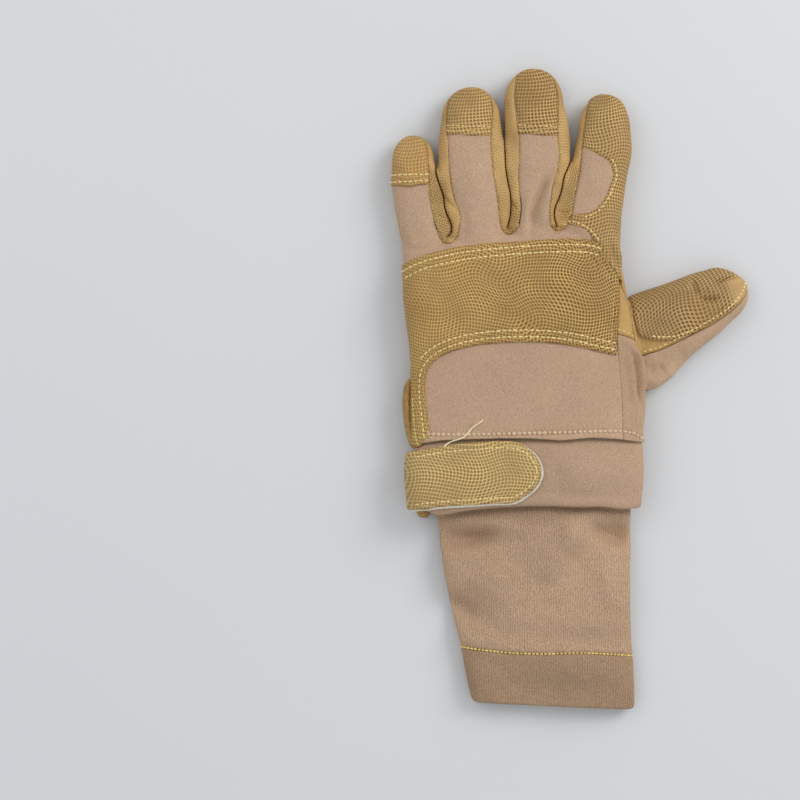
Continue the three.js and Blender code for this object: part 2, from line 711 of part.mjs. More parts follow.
// The stretch between two shares of the length. A negative share lies inside the band.
function gauntletForm(from, to, grow, past) {
  const stations = [from, ...GAUNTLET_ROWS.map((r) => r.at).filter((at) => at > from && at < to), to];
  const ledge = BAND_LIFT + BAND_WALL + LAYER_GAP;
  const inset = 2 * (BAND_WALL + LAYER_GAP);
  const sections = stations.map((at, i) => {
    const row = (column) => between(GAUNTLET_ROWS, "at", Math.max(0, at), column);
    const end = i === 0 ? past : i === stations.length - 1 ? -past : 0;
    const width = THREE.MathUtils.lerp(GAUNTLET_WIDTH, WRIST_WIDTH - inset, row("held"));
    const thickness = THREE.MathUtils.lerp(GAUNTLET_THICKNESS, WRIST_THICKNESS - inset, row("held"));
    return {
      along: -BAND_LENGTH - LAYER_GAP - at * GAUNTLET_LENGTH + end,
      slant: at > 0.8 ? MOUTH_SLANT : 0,
      middle: ((row("left") + row("right")) / 2) * width,
      half: ((row("right") - row("left")) / 2) * width + grow,
      low: row("held") * ledge - grow,
      high: row("held") * ledge + row("high") * thickness + grow,
      square: CUFF_SQUARENESS,
    };
  });
  return loft(sections, CUFF_SIDES, (x, y, z) => dented([x, y, z]));
}
const TUCK = -GAUNTLET_TUCK / GAUNTLET_LENGTH;
const HEM_START = 1 + SEAM_GAP / GAUNTLET_LENGTH;
const HEM_END = 1 + HEM_LENGTH / GAUNTLET_LENGTH;
const gauntlet = gauntletForm(TUCK, 1, 0, 0).subtract(gauntletForm(TUCK, 1, -GAUNTLET_WALL, 1));
const gauntletHem = gauntletForm(HEM_START, HEM_END, 0, 0).subtract(
  gauntletForm(HEM_START, HEM_END, -HEM_WALL, 1),
);

// Strap: leather over a pale hook pad, round the outer side of the wrist and over the back of the band

const STRAP_LEVEL = 0.62; // its middle at the outer side of the wrist, a share of the band's length
const strapTurn = THREE.MathUtils.degToRad(STRAP_TILT);
const strapLeft = BAND_ROWS[1].left * WRIST_WIDTH;
const strapMiddle = -BAND_LENGTH * STRAP_LEVEL;
const ROUND_END = 0.42; // the rounded end's length, a share of the strap's width

function strapOutline(extra) {
  const across = STRAP_WIDTH / 2 + extra;
  const round = STRAP_WIDTH * ROUND_END + extra;
  const start = STRAP_REACH - STRAP_WIDTH * ROUND_END;
  const arc = arcPoints(-Math.PI / 2, Math.PI / 2, STRAP_END_STEPS).map(([c, n]) => [
    start + round * c,
    across * n,
  ]);
  return [[-PAST, -across], ...arc, [-PAST, across]].map(([a, b]) => [
    strapLeft + a * Math.cos(strapTurn) - b * Math.sin(strapTurn),
    strapMiddle + a * Math.sin(strapTurn) + b * Math.cos(strapTurn),
  ]);
}

// A layer round the band, cut to the strap's outline above and to its turned-under end below.
function strapLayer(from, thickness, extra) {
  const layer = bandForm(from + thickness, STRAP_OVERHANG).subtract(bandForm(from, STRAP_OVERHANG + 1));
  const waist = BAND_LIFT + WRIST_THICKNESS / 2;
  const shape = strapOutline(extra);
  const end = strapLeft + STRAP_TURN_UNDER;
  const under = [[-ROOM, -ROOM], [end, -ROOM], [end, ROOM], [-ROOM, ROOM]];
  const upper = block(shape, waist, ROOM);
  const lower = block(shape, -ROOM, waist + STRAP_OVERHANG).intersect(block(under, -ROOM, ROOM));
  return largest(layer.intersect(upper.add(lower)));
}
const strapBacking = strapLayer(LAYER_GAP, STRAP_BACKING, BACKING_RIM);
const strapLeather = strapLayer(2 * LAYER_GAP + STRAP_BACKING, STRAP_LEATHER, 0);

// Leather roll: the palm's edge turned over the outer side of the heel of the hand

const ROLL_START = 0.3; // its upper end, a share of PALM_LENGTH
const ROLL_FULLNESS = 0.6;
const ROLL_ENDS = { from: 0.12, to: 0.92 }; // the stretch of a sine wave that its depth follows

function sideRoll() {
  const sections = Array.from({ length: ROLL_STEPS + 1 }, (_, i) => {
    const at = i / ROLL_STEPS;
    const bulge = Math.sin(Math.PI * THREE.MathUtils.lerp(ROLL_ENDS.from, ROLL_ENDS.to, at)) ** ROLL_FULLNESS;
    const along = ROLL_START * PALM_LENGTH - at * ROLL_LENGTH;
    return {
      along,
      middle: edgeAt(Math.max(0, along), "left") - SEAM_GAP - (ROLL_DEPTH * bulge) / 2,
      half: (ROLL_DEPTH * bulge) / 2,
      low: BACK_SEAM_HEIGHT - (ROLL_HEIGHT * bulge) / 2,
      high: BACK_SEAM_HEIGHT + (ROLL_HEIGHT * bulge) / 2,
      square: 2,
    };
  });
  return loft(sections, ROLL_SIDES, asIs);
}
const strapOuter = 2 * LAYER_GAP + STRAP_BACKING + STRAP_LEATHER;
const roll = largest(
  sideRoll()
    .subtract(handForm(LAYER_GAP + GUARD_LEATHER + LAYER_GAP))
    .subtract(bandForm(strapOuter + LAYER_GAP, STRAP_OVERHANG + 1)),
);

// Strap tab: the sewn end of the strap that shows below its lower edge

const tabTop = strapMiddle - STRAP_WIDTH / 2 / Math.cos(strapTurn) - SEAM_GAP;
const tabOutline = [
  [0, 0],
  [1, 0],
  [1, 0.6],
  [0.85, 1],
  [0.15, 1],
  [0, 0.6],
].map(([a, b]) => [strapLeft + TAB_SET_IN + a * TAB_WIDTH, tabTop - b * TAB_LENGTH]);
const strapTab = block(tabOutline, LAYER_GAP, LAYER_GAP + TAB_THICKNESS);

// Assembly

const TAN = 0xb39a80; // knitted fabric
const GOLD = 0xb8935a; // leather
const PALE = 0xd8d2c6; // hook pad
const finish = (name, color, roughness) =>
  new THREE.MeshStandardMaterial({ name, color, roughness, metalness: 0 });
const fabric = (name) => finish(name, TAN, 0.95);
const leather = (name) => finish(name, GOLD, 0.75);

const glove = new THREE.Group();
function add(name, solid, material) {
  const mesh = new THREE.Mesh(geometryOf(solid), material);
  mesh.name = name;
  glove.add(mesh);
}

for (const name of ["back_fabric", "side_panel", "thumb_fabric"]) add(name, panels[name], fabric(name));
for (const name of ["palm_leather", "thumb_leather", ...STRIPS.map((s) => s.name)])
  add(name, panels[name], leather(name));
for (const name of Object.keys(guards)) add(name, guards[name], leather(name));
add("wrist_band", wristBand, fabric("wrist_band"));
add("gauntlet", gauntlet, fabric("gauntlet"));
add("gauntlet_hem", gauntletHem, fabric("gauntlet_hem"));
add("strap_backing", strapBacking, finish("hook_pad", PALE, 0.9));
add("wrist_strap", strapLeather, leather("wrist_strap"));
add("strap_tab", strapTab, leather("strap_tab"));
add("side_roll", roll, leather("side_roll"));

// The origin is the middle of the surface that the glove lies on.
const box = new THREE.Box3().setFromObject(glove);
const centre = box.getCenter(new THREE.Vector3());
glove.position.set(-centre.x, -centre.y, -box.min.z);

export default glove;
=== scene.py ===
import math

import bpy
import numpy as np
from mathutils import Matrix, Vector
from mathutils.bvhtree import BVHTree


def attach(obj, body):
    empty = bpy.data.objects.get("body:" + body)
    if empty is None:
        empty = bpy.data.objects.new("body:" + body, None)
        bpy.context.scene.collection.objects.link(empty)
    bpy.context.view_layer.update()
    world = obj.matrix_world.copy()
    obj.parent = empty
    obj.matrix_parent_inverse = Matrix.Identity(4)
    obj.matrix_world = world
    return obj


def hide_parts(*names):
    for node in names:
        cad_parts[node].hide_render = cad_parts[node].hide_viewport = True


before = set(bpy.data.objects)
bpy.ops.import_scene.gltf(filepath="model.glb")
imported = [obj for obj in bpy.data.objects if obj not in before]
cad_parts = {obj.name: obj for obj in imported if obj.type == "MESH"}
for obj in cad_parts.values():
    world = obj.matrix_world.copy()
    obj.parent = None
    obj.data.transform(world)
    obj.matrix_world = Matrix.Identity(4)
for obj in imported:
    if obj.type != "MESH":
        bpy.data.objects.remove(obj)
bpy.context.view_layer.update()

# Table, light and camera
# The glove lies on a plain pale table under a soft lamp from the right, a weaker one from the left and
# a pale sky. The camera looks straight down, at the photograph's distance and framing.
PIXEL = 0.48  # millimetres on the table for one pixel of the photograph
PHOTO_CENTRE = (400, 400)
GLOVE_CENTRE = (570, 389)  # the pixel of the frame's origin
MM = 0.001
FRAMING_LEVEL = 9.0  # millimetres: the height at which the framing is measured
CAMERA_HEIGHT = 1500.0


def seen(points):
    """Points given in pixels of the photograph, as millimetres in the frame."""
    pixels = np.array(points, float)
    return (pixels - GLOVE_CENTRE) * (PIXEL, -PIXEL)


camera_data = bpy.data.cameras.new("camera")
camera_data.sensor_width = 36
frame_width = 2 * PHOTO_CENTRE[0] * PIXEL
camera_data.lens = 36 * (CAMERA_HEIGHT - FRAMING_LEVEL) / frame_width
camera = bpy.data.objects.new("camera", camera_data)
camera.location = [*(seen(PHOTO_CENTRE) * MM), CAMERA_HEIGHT * MM]
bpy.context.scene.collection.objects.link(camera)
bpy.context.scene.camera = camera


def lamp(name, place, aim, size, energy, color):
    data = bpy.data.lights.new(name, "AREA")
    data.size = size
    data.energy = energy
    data.color = color
    item = bpy.data.objects.new(name, data)
    item.location = place
    item.rotation_euler = (Vector(aim) - Vector(place)).to_track_quat("-Z", "Y").to_euler()
    bpy.context.scene.collection.objects.link(item)


lamp("right", (1.12, 0.8, 1.0), (-0.03, 0, 0), 0.9, 14.0, (1.0, 0.995, 0.98))
lamp("left", (-1.0, 0.5, 1.2), (-0.03, 0, 0), 1.2, 3.6, (1.0, 0.995, 0.99))

world = bpy.data.worlds.new("sky")
world.use_nodes = True
world.node_tree.nodes["Background"].inputs["Color"].default_value = (0.95, 0.975, 1.0, 1)
world.node_tree.nodes["Background"].inputs["Strength"].default_value = 0.66
bpy.context.scene.world = world
bpy.context.scene.view_settings.view_transform = "Standard"


def linear(color):
    """A colour seen on the photograph, 0 to 255, as Blender's own light values."""
    share = np.array(color, float) / 255
    return (*np.where(share < 0.04045, share / 12.92, ((share + 0.055) / 1.055) ** 2.4), 1)


def add_node(tree, kind, inputs=None, **settings):
    """One node with its settings, and its sockets set to values or linked to other sockets."""
    node = tree.nodes.new(kind)
    for key, value in settings.items():
        setattr(node, key, value)
    for key, value in (inputs or {}).items():
        if isinstance(value, bpy.types.NodeSocket):
            tree.links.new(value, node.inputs[key])
        else:
            node.inputs[key].default_value = value
    return node


def blend_colors(tree, factor, a, b, how="MIX"):
    inputs = {0: factor, 6: a, 7: b}
    return add_node(tree, "ShaderNodeMix", inputs, data_type="RGBA", blend_type=how).outputs[2]


def noise(tree, place, scale, detail):
    inputs = {"Vector": place, "Scale": scale, "Detail": detail}
    return add_node(tree, "ShaderNodeTexNoise", inputs).outputs["Fac"]


def new_finish(name, roughness):
    """A material with one Principled BSDF, whose colour and bump are linked by the caller."""
    material = bpy.data.materials.new(name)
    material.use_nodes = True
    shader = material.node_tree.nodes["Principled BSDF"]
    shader.inputs["Roughness"].default_value = roughness
    return material, material.node_tree, shader


table_finish, tree, shader = new_finish("painted_table", 0.55)
place = add_node(tree, "ShaderNodeTexCoord").outputs["Object"]
cloud = noise(tree, place, 3.0, 2.0)
table_color = blend_colors(tree, cloud, linear((212, 214, 217)), linear((217.5, 218.5, 219.5)))
tree.links.new(table_color, shader.inputs["Base Color"])
bpy.ops.mesh.primitive_plane_add(size=8)
table = bpy.context.object
table.name = "table"
table.data.materials.append(table_finish)

# Hand form
# The smooth form that the hand's panels take: the palm, four fingers and a thumb as rounded sleeves,
# run together into one skin. Its tables hold the same shares of the same sizes as the solids.
SHIFT = np.array([-20.09, -24.70, 0.0])  # from the wrist seam's middle to the frame's origin
PALM = {"length": 101.0, "width": 103.0, "thickness": 22.0}
WEB_SLANT = 0.1
FLATTENING = 1.15
SKIN_FINENESS = 0.6
FORM_SIDES = 64
STATION = 1.5  # millimetres between sections
TIP_HEIGHT_SHARE = 0.42
TIP_STEPS = 14
PALM_SQUARENESS, FINGER_SQUARENESS = 2.7, 2.3
THUMB_POINTEDNESS = 1.25

# at: share of the length. left, right: shares of the width. low, high: shares of the thickness.
PALM_ROWS = np.array([
    (-0.03, -0.531, 0.531, 0.1, 0.97),
    (0, -0.531, 0.531, 0.1, 0.97),
    (0.143, -0.541, 0.546, 0.02, 0.95),
    (0.3, -0.538, 0.54, 0, 0.97),
    (0.43, -0.541, 0.517, 0, 0.99),
    (0.57, -0.554, 0.48, 0, 1),
    (0.7, -0.567, 0.45, 0, 1),
    (0.85, -0.578, 0.424, 0, 0.95),
    (0.93, -0.585, 0.421, 0.02, 0.85),
    (0.975, -0.589, 0.423, 0.12, 0.72),
    (1, -0.592, 0.426, 0.26, 0.56),
])
# Rows: at, a share of the length from the web; shift and wide, shares of the width; low and high, shares of
# the thickness.
FINGERS = {
    "little": {
        "base": -0.476, "length": 50.8, "width": 23.5, "thickness": 15.5,
        "rows": [(-0.28, 0.1, 0.9, 0.1, 1), (0, 0, 1, 0.02, 1), (0.2, -0.08, 1.02, 0, 0.98),
                 (0.4, -0.15, 1.04, 0, 0.96), (0.6, -0.22, 0.97, 0, 0.95), (0.75, -0.255, 0.86, 0, 0.9)],
    },
    "ring": {
        "base": -0.224, "length": 71.2, "width": 32.0, "thickness": 17.0,
        "rows": [(-0.22, 0.01, 0.88, 0.1, 1), (0, 0, 0.87, 0.02, 1.02), (0.22, -0.015, 0.97, 0, 1),
                 (0.43, -0.105, 1, 0.02, 0.98), (0.64, -0.135, 0.97, 0.02, 0.95),
                 (0.77, -0.135, 0.89, 0, 0.88)],
    },
    "middle": {
        "base": 0.023, "length": 77.4, "width": 30.7, "thickness": 17.5,
        "rows": [(-0.2, 0, 0.8, 0.1, 1), (0, 0, 0.74, 0.02, 1.02), (0.18, 0.04, 0.76, 0, 1),
                 (0.3, 0.08, 0.89, 0.02, 0.98), (0.45, 0.08, 0.99, 0.03, 0.97),
                 (0.62, 0.06, 1, 0.02, 0.96), (0.8, 0.01, 0.915, 0, 0.88)],
    },
    "index": {
        "base": 0.28, "length": 62.4, "width": 30.0, "thickness": 17.0,
        "rows": [(-0.26, 0, 0.9, 0.1, 1), (0, 0, 0.99, 0.02, 1.04), (0.2, 0.055, 0.98, 0, 1),
                 (0.4, 0.16, 0.91, 0.02, 0.98), (0.58, 0.23, 0.88, 0.02, 0.95),
                 (0.72, 0.256, 0.8, 0, 0.9)],
    },
}
THUMB = {"length": 61.0, "width": 46.0, "thickness": 15.5, "turn": math.radians(29), "base": (0.508, 0.447)}
# at: share of the length. wide: share of the width. low, high: shares of the thickness.
THUMB_ROWS = np.array([
    (-0.22, 0.86, 0.08, 0.7), (0, 1, 0, 0.76), (0.18, 0.95, 0, 0.86), (0.34, 0.89, 0, 0.96),
    (0.5, 0.83, 0.02, 1), (0.65, 0.75, 0.02, 0.99), (0.76, 0.66, 0, 0.94),
])

# at: share of the thumb's length. across: how much of its half width the slack lower side keeps.
THUMB_LOWER_SIDE = np.array([
    (-0.22, 1), (0, 0.95), (0.12, 0.91), (0.24, 0.87), (0.34, 0.82), (0.5, 0.785), (0.65, 0.775),
    (0.76, 0.755), (0.875, 0.7), (1, 0.66),
])


def smoothly(places, values, at):
    """A smooth curve through a table's values, read at any places."""
    slopes = np.gradient(values, places)
    i = np.clip(np.searchsorted(places, at) - 1, 0, len(places) - 2)
    step = places[i + 1] - places[i]
    t = np.clip((at - places[i]) / step, 0, 1)
    rise = t * t * (3 - 2 * t)
    bend = t * (1 - t) * step * ((1 - t) * slopes[i] - t * slopes[i + 1])
    return values[i] * (1 - rise) + values[i + 1] * rise + bend


def sections(along, middle, half, low, high, square, slant=0.0, sides=FORM_SIDES):
    """The rings of a sleeve, one for each place along it: an array of rings, sides, across-along-height."""
    turn = 2 * np.pi * (np.arange(sides) + 0.5) / sides
    c, n = np.cos(turn), np.sin(turn)
    power = 2 / square
    across = np.sign(c) * np.abs(c) ** power
    rise = np.sign(n) * np.abs(n) ** power * np.where(n < 0, FLATTENING, 1)
    x = middle[:, None] + half[:, None] * across
    z = (low + high)[:, None] / 2 + (high - low)[:, None] / 2 * rise
    y = along[:, None] + np.broadcast_to(slant, along.shape)[:, None] * x
    return np.stack([x, y, np.maximum(z, low[:, None])], axis=-1)


def rounded_tip(rows, tip_length, pointedness=1.0):
    """Adds a dome past the last row: columns are along, middle, half, low, high."""
    along, middle, half, low, high = rows[-1]
    ground = low + TIP_HEIGHT_SHARE * (high - low)
    turn = np.linspace(0, np.pi / 2, TIP_STEPS + 1)[1:-1]
    scale = np.cos(turn) ** pointedness
    dome = np.column_stack([
        along + tip_length * np.sin(turn), np.full_like(turn, middle), half * scale,
        ground - (ground - low) * scale, ground + (high - ground) * scale,
    ])
    return np.vstack([rows, dome])


def skin_faces(rings, sides, closed=False):
    """Triangles between neighbouring rings. The rings of a closed band meet again at their start."""
    ring = np.arange(rings if closed else rings - 1)
    a = (ring[:, None] * sides + np.arange(sides)).ravel()
    b = (ring[:, None] * sides + (np.arange(sides) + 1) % sides).ravel()
    c, d = ((a + sides) % (rings * sides), (b + sides) % (rings * sides))
    return np.vstack([np.column_stack([a, c, b]), np.column_stack([b, c, d])])


def mesh_object(name, points, faces):
    mesh = bpy.data.meshes.new(name)
    mesh.from_pydata(np.asarray(points) * MM, [], faces if isinstance(faces, list) else faces.tolist())
    mesh.update()
    item = bpy.data.objects.new(name, mesh)
    bpy.context.scene.collection.objects.link(item)
    return item


def closed_sleeve(name, rings):
    count, sides = rings.shape[:2]
    faces = skin_faces(count, sides).tolist()
    faces += [list(range(sides)), list(range((count - 1) * sides, count * sides))[::-1]]
    item = mesh_object(name, rings.reshape(-1, 3), faces)
    item.data.validate()
    return item


def stations(low, high, length):
    return np.linspace(low, high, max(4, int((high - low) * length / STATION)))


def palm_row(at):
    return [smoothly(PALM_ROWS[:, 0], PALM_ROWS[:, k], at) for k in range(1, 5)]


def finger_rows(finger):
    rows = np.array(finger["rows"])
    at = stations(rows[0, 0], rows[-1, 0], finger["length"])
    shift, wide, low, high = [smoothly(rows[:, 0], rows[:, k], at) for k in range(1, 5)]
    middle = finger["base"] * PALM["width"]
    web = PALM["length"] + WEB_SLANT * middle
    width, thickness = finger["width"], finger["thickness"]
    table = np.column_stack([
        web + at * finger["length"], middle + shift * width, wide * width / 2, low * thickness,
        high * thickness,
    ])
    return rounded_tip(table, (1 - rows[-1, 0]) * finger["length"])


def thumb_place(rings):
    """From the thumb's own directions to the glove's."""
    across, along, height = rings[..., 0], rings[..., 1], rings[..., 2]
    c, s = math.cos(THUMB["turn"]), math.sin(THUMB["turn"])
    base = (THUMB["base"][0] * PALM["width"], THUMB["base"][1] * PALM["length"])
    return np.stack([base[0] + along * c - across * s, base[1] + along * s + across * c, height], axis=-1)


def hand_sleeves():
    at = stations(PALM_ROWS[0, 0], PALM_ROWS[-1, 0], PALM["length"])
    left, right, low, high = palm_row(at)
    width, thickness = PALM["width"], PALM["thickness"]
    yield sections(
        at * PALM["length"], (left + right) / 2 * width, (right - left) / 2 * width, low * thickness,
        high * thickness, PALM_SQUARENESS, WEB_SLANT * at,
    )
    for finger in FINGERS.values():
        yield sections(*finger_rows(finger).T, FINGER_SQUARENESS)
    at = stations(THUMB_ROWS[0, 0], THUMB_ROWS[-1, 0], THUMB["length"])
    wide, low, high = [smoothly(THUMB_ROWS[:, 0], THUMB_ROWS[:, k], at) for k in range(1, 4)]
    table = np.column_stack([
        at * THUMB["length"], np.zeros_like(at), wide * THUMB["width"] / 2, low * THUMB["thickness"],
        high * THUMB["thickness"],
    ])
    tipped = rounded_tip(table, (1 - THUMB_ROWS[-1, 0]) * THUMB["length"], THUMB_POINTEDNESS)
    rings = sections(*tipped.T, FINGER_SQUARENESS)
    slimmer = np.interp(rings[..., 1] / THUMB["length"], THUMB_LOWER_SIDE[:, 0], THUMB_LOWER_SIDE[:, 1])
    rings[..., 0] *= np.where(rings[..., 0] < 0, slimmer, 1)
    yield thumb_place(rings)


def triangles_of(item):
    """An object's evaluated mesh as points in millimetres and triangles."""
    mesh = bpy.data.meshes.new_from_object(item.evaluated_get(bpy.context.evaluated_depsgraph_get()))
    mesh.calc_loop_triangles()
    points = np.empty(len(mesh.vertices) * 3)
    mesh.vertices.foreach_get("co", points)
    faces = np.empty(len(mesh.loop_triangles) * 3, np.int64)
    mesh.loop_triangles.foreach_get("vertices", faces)
    bpy.data.meshes.remove(mesh)
    return points.reshape(-1, 3) / MM, faces.reshape(-1, 3)


def relaxed(points, faces, rounds, share=0.5, back=-0.52):
    """Evens out a skin without shrinking it: each round moves points towards their neighbours and back."""
    pairs = np.vstack([faces[:, [0, 1]], faces[:, [1, 2]], faces[:, [2, 0]]])
    one = np.concatenate([pairs[:, 0], pairs[:, 1]])
    other = np.concatenate([pairs[:, 1], pairs[:, 0]])
    count = np.maximum(np.bincount(one, minlength=len(points)), 1)[:, None]
    for step in [share, back] * rounds:
        near = np.stack([np.bincount(one, points[other, k], len(points)) for k in range(3)], axis=1) / count
        points = points + step * (near - points)
    return points


sleeves = [closed_sleeve(f"form_{i}", rings + SHIFT) for i, rings in enumerate(hand_sleeves())]
with bpy.context.temp_override(active_object=sleeves[0], selected_editable_objects=sleeves):
    bpy.ops.object.join()
hand_form = sleeves[0]
run_together = hand_form.modifiers.new("skin", "REMESH")
run_together.mode = "VOXEL"
run_together.voxel_size = SKIN_FINENESS * MM
skin, skin_triangles = triangles_of(hand_form)
bpy.data.objects.remove(hand_form)
skin = relaxed(skin, skin_triangles, 12)

# Knitted back
# The back of the hand and of the fingers is one panel of heathered aramid knit, sewn to the strips
# between the fingers. Slack folds run down from the finger webs, and its lower edge laps over the wrist
# band. Its neighbours are cut along the same seams.
BACK_SEAM_HEIGHT = 9.0
STRIP_SEAM_HEIGHT = 5.0
SEAM = 0.15  # half the gap between two panels
FAR = 400.0


def bent(points, steps=4):
    """A smooth line through a few points, with some steps between each two."""
    points = np.asarray(points, float)
    length = np.concatenate([[0], np.cumsum(np.linalg.norm(np.diff(points, axis=0), axis=1))])
    at = np.interp(np.arange((len(points) - 1) * steps + 1) / steps, np.arange(len(points)), length)
    return np.column_stack([smoothly(length, points[:, k], at) for k in range(2)])


STRIPS = {
    "strip_little_ring": {
        "down": [(421, 120), (425, 137), (427.5, 150), (428.7, 165), (429, 186), (430, 197),
                 (432.5, 210), (435.8, 223), (440, 236)],
        "round": [(443, 241.5), (447.5, 244), (453, 242)],
        "up": [(457, 236), (458.8, 226), (458.3, 213), (455, 203), (451.7, 190), (449.2, 173),
               (448.3, 160), (447, 136), (446.3, 123), (446.5, 110), (449, 99), (454, 88), (462, 70)],
    },
    "strip_ring_middle": {
        "down": [(478, 70), (486, 88), (491, 100), (492.5, 112), (491.5, 125), (490.5, 137),
                 (491.7, 160), (493.3, 177), (495.8, 193), (498.3, 210), (500, 225)],
        "round": [(503, 231.5), (507.5, 234.2), (513, 232)],
        "up": [(517.5, 224), (519.2, 210), (518.3, 193), (517.5, 177), (518.3, 160), (518.3, 135),
               (515.8, 120), (514.5, 107), (514.3, 93), (515.5, 82), (519, 68)],
    },
    "strip_middle_index": {
        "down": [(548, 60), (554.5, 83), (557.3, 95), (557.5, 110), (557.2, 123), (556.9, 137),
                 (559, 158), (556.7, 172), (553, 184), (549.5, 197), (547.3, 210), (549, 221)],
        "round": [(552, 228), (557.5, 230.8), (563, 229)],
        "up": [(567, 224), (570.8, 215), (573.3, 200), (576.7, 185), (579.2, 173), (580.5, 160),
               (581.7, 147), (584.2, 127), (586.7, 110), (588.5, 100), (590, 88)],
    },
}
for strip in STRIPS.values():
    strip["outline"] = np.vstack([
        bent(seen(strip["down"])), bent(seen([strip["down"][-1], *strip["round"], strip["up"][0]]))[1:-1],
        bent(seen(strip["up"])),
    ])

BACK_SIDE = seen([
    (615, 150), (615, 195), (611, 222), (607, 245), (614, 272), (617.5, 289), (616.8, 310),
    (615.5, 335), (617, 358), (619.5, 385), (621, 410), (622, 460),
])
back_outline = np.vstack([
    [[-FAR, -60], [-FAR, FAR], [seen([(597, 0)])[0, 0], FAR]], seen([(597, 90), (602, 115)]), BACK_SIDE,
])
THUMB_SEAM = seen([
    (800, 402), (665, 401), (648, 397.5), (644.5, 388), (642, 366), (639.5, 354), (636, 344),
    (633.5, 332), (632, 320), (630, 309), (626.5, 298), (622, 288), (619, 278),
])
THUMB_TOP = 62.0
thumb_outline = np.vstack([THUMB_SEAM, [[24.6, THUMB_TOP], [FAR, THUMB_TOP]]])
KNUCKLE_TOP = bent(seen([
    (392, 271), (404, 265), (413, 260.5), (424, 256.7), (440, 252.5), (460, 248.5), (488, 245),
    (522, 242.2), (555, 240.6), (593, 242), (606, 246),
]))
KNUCKLE_SIDE = bent(seen([
    (606, 246), (611, 262), (617, 281), (617.6, 295), (616.5, 315), (615.5, 335), (615, 355.5),
]))
KNUCKLE_BOTTOM = bent(seen([
    (615, 355.5), (595, 351.5), (578, 347.5), (555, 344), (528, 342.4), (503, 343), (478, 345.5),
    (458, 349.5), (443, 355.5), (432, 363.5), (426.5, 371.7), (424.5, 381), (424.7, 397), (426.5, 413),
    (428.5, 431), (429, 437),
]))
knuckle_outline = np.vstack([KNUCKLE_TOP, KNUCKLE_SIDE, KNUCKLE_BOTTOM, seen([(419, 447), (380, 450)])])
INDEX_WINDOW = bent(seen([
    (581.7, 149), (590, 151.7), (600, 158), (606.7, 161.7), (610, 166.7), (611.7, 177), (608.3, 187),
    (605, 195), (600, 203), (593.3, 210), (583, 214.2), (570.8, 215),
]))
INDEX_LOWER = bent(seen([
    (566.7, 225.5), (573.3, 226.7), (581.7, 230), (588.3, 235), (593, 241), (597, 246),
]))
INDEX_SIDE = bent(seen([(597, 246), (600, 254), (605, 263), (611, 271), (618, 282)]))
index_outline = np.vstack([
    seen([(590, 60), (588.5, 100), (586.7, 110), (584.2, 127)]), INDEX_WINDOW, INDEX_LOWER, INDEX_SIDE,
    seen([(624, 291), (660, 292), (660, 60)]),
])
CAP_OUTLINES = {
    "little_cap": [(380, 186.5), (391, 187.5), (398, 186.3), (410, 188), (418, 186), (428.3, 185.3),
                   (429, 176), (428, 160), (426.7, 147), (424.2, 137), (420, 115), (380, 110)],
    "ring_cap": [(446.8, 135.5), (460, 136), (475, 137.3), (490.4, 137), (491.5, 125), (492.5, 112),
                 (491, 100), (486, 88), (478, 70), (462, 70), (454, 88), (449, 99), (446.7, 110),
                 (446.5, 123)],
    "middle_cap": [(518.2, 135.3), (530, 136), (545, 137.3), (557, 137), (557.3, 123), (557.6, 110),
                   (557.3, 95), (554.5, 83), (548, 55), (519, 55), (515.5, 82), (514.5, 93),
                   (514.7, 107), (516, 120)],
}
COVERS = [knuckle_outline, index_outline, *[seen(outline) for outline in CAP_OUTLINES.values()]]


def outside(points, outline, reach=8.0):
    """How far points lie outside a closed outline seen from above, and negative inside it."""
    outline = np.asarray(outline)
    result = np.full(len(points), reach)
    low, high = outline.min(axis=0) - reach, outline.max(axis=0) + reach
    near = ((points[:, :2] > low) & (points[:, :2] < high)).all(axis=1)
    x, y = points[near, 0], points[near, 1]
    best = np.full(len(x), np.inf)
    inside = np.zeros(len(x), bool)
    for (ax, ay), (bx, by) in zip(outline, np.roll(outline, -1, axis=0)):
        ex, ey = bx - ax, by - ay
        share = np.clip(((x - ax) * ex + (y - ay) * ey) / max(ex * ex + ey * ey, 1e-12), 0, 1)
        best = np.minimum(best, (x - ax - share * ex) ** 2 + (y - ay - share * ey) ** 2)
        if ay != by:
            inside ^= ((ay > y) != (by > y)) & (x < ex * (y - ay) / (by - ay) + ax)
    result[near] = np.where(inside, -1, 1) * np.sqrt(best)
    return result


z = skin[:, 2]
side_cut = BACK_SEAM_HEIGHT - z
strip_fields = {
    name: np.maximum(outside(skin, strip["outline"]), STRIP_SEAM_HEIGHT - z)
    for name, strip in STRIPS.items()
}
any_strip = np.minimum.reduce(list(strip_fields.values()))
back_field = np.maximum(outside(skin, back_outline), side_cut)
thumb_field = outside(skin, thumb_outline)
KNIT_BACK_FOLDS = [
    ([(551, 172), (543, 188), (536, 203), (531, 220), (529, 234)], 1.9, -3.2),
    ([(556, 186), (549, 202), (544, 217), (542, 233)], 2.6, 2.2),
    ([(521, 190), (521, 205), (520, 220), (516, 236)], 2.2, -0.9),
    ([(459, 200), (463, 215), (464, 230), (461, 246)], 2.6, -0.8),
    ([(430, 215), (436, 232), (442, 247), (455, 251)], 2.4, -0.8),
    ([(494, 205), (494, 220), (498, 236), (510, 241)], 2.2, -0.7),
    ([(568, 228), (575, 233), (583, 238)], 2.0, -0.5),
    ([(586, 160), (592, 176), (595, 192), (590, 205)], 4.0, 0.5),
    ([(473, 150), (476, 175), (480, 200)], 5.0, 0.4),
    ([(403, 215), (412, 225), (424, 245)], 3.0, -0.5),
]
PUCKER_LINE = seen([
    (424, 434), (455, 434.5), (490, 434), (530, 433), (570, 432), (600, 431), (620, 431), (634, 433.5),
    (641, 438),
])
PUCKER_PITCH = 2.5
PUCKERS = (0.9, 0.55, 0.3)  # reach, depth, and how much the depth changes from stitch to stitch
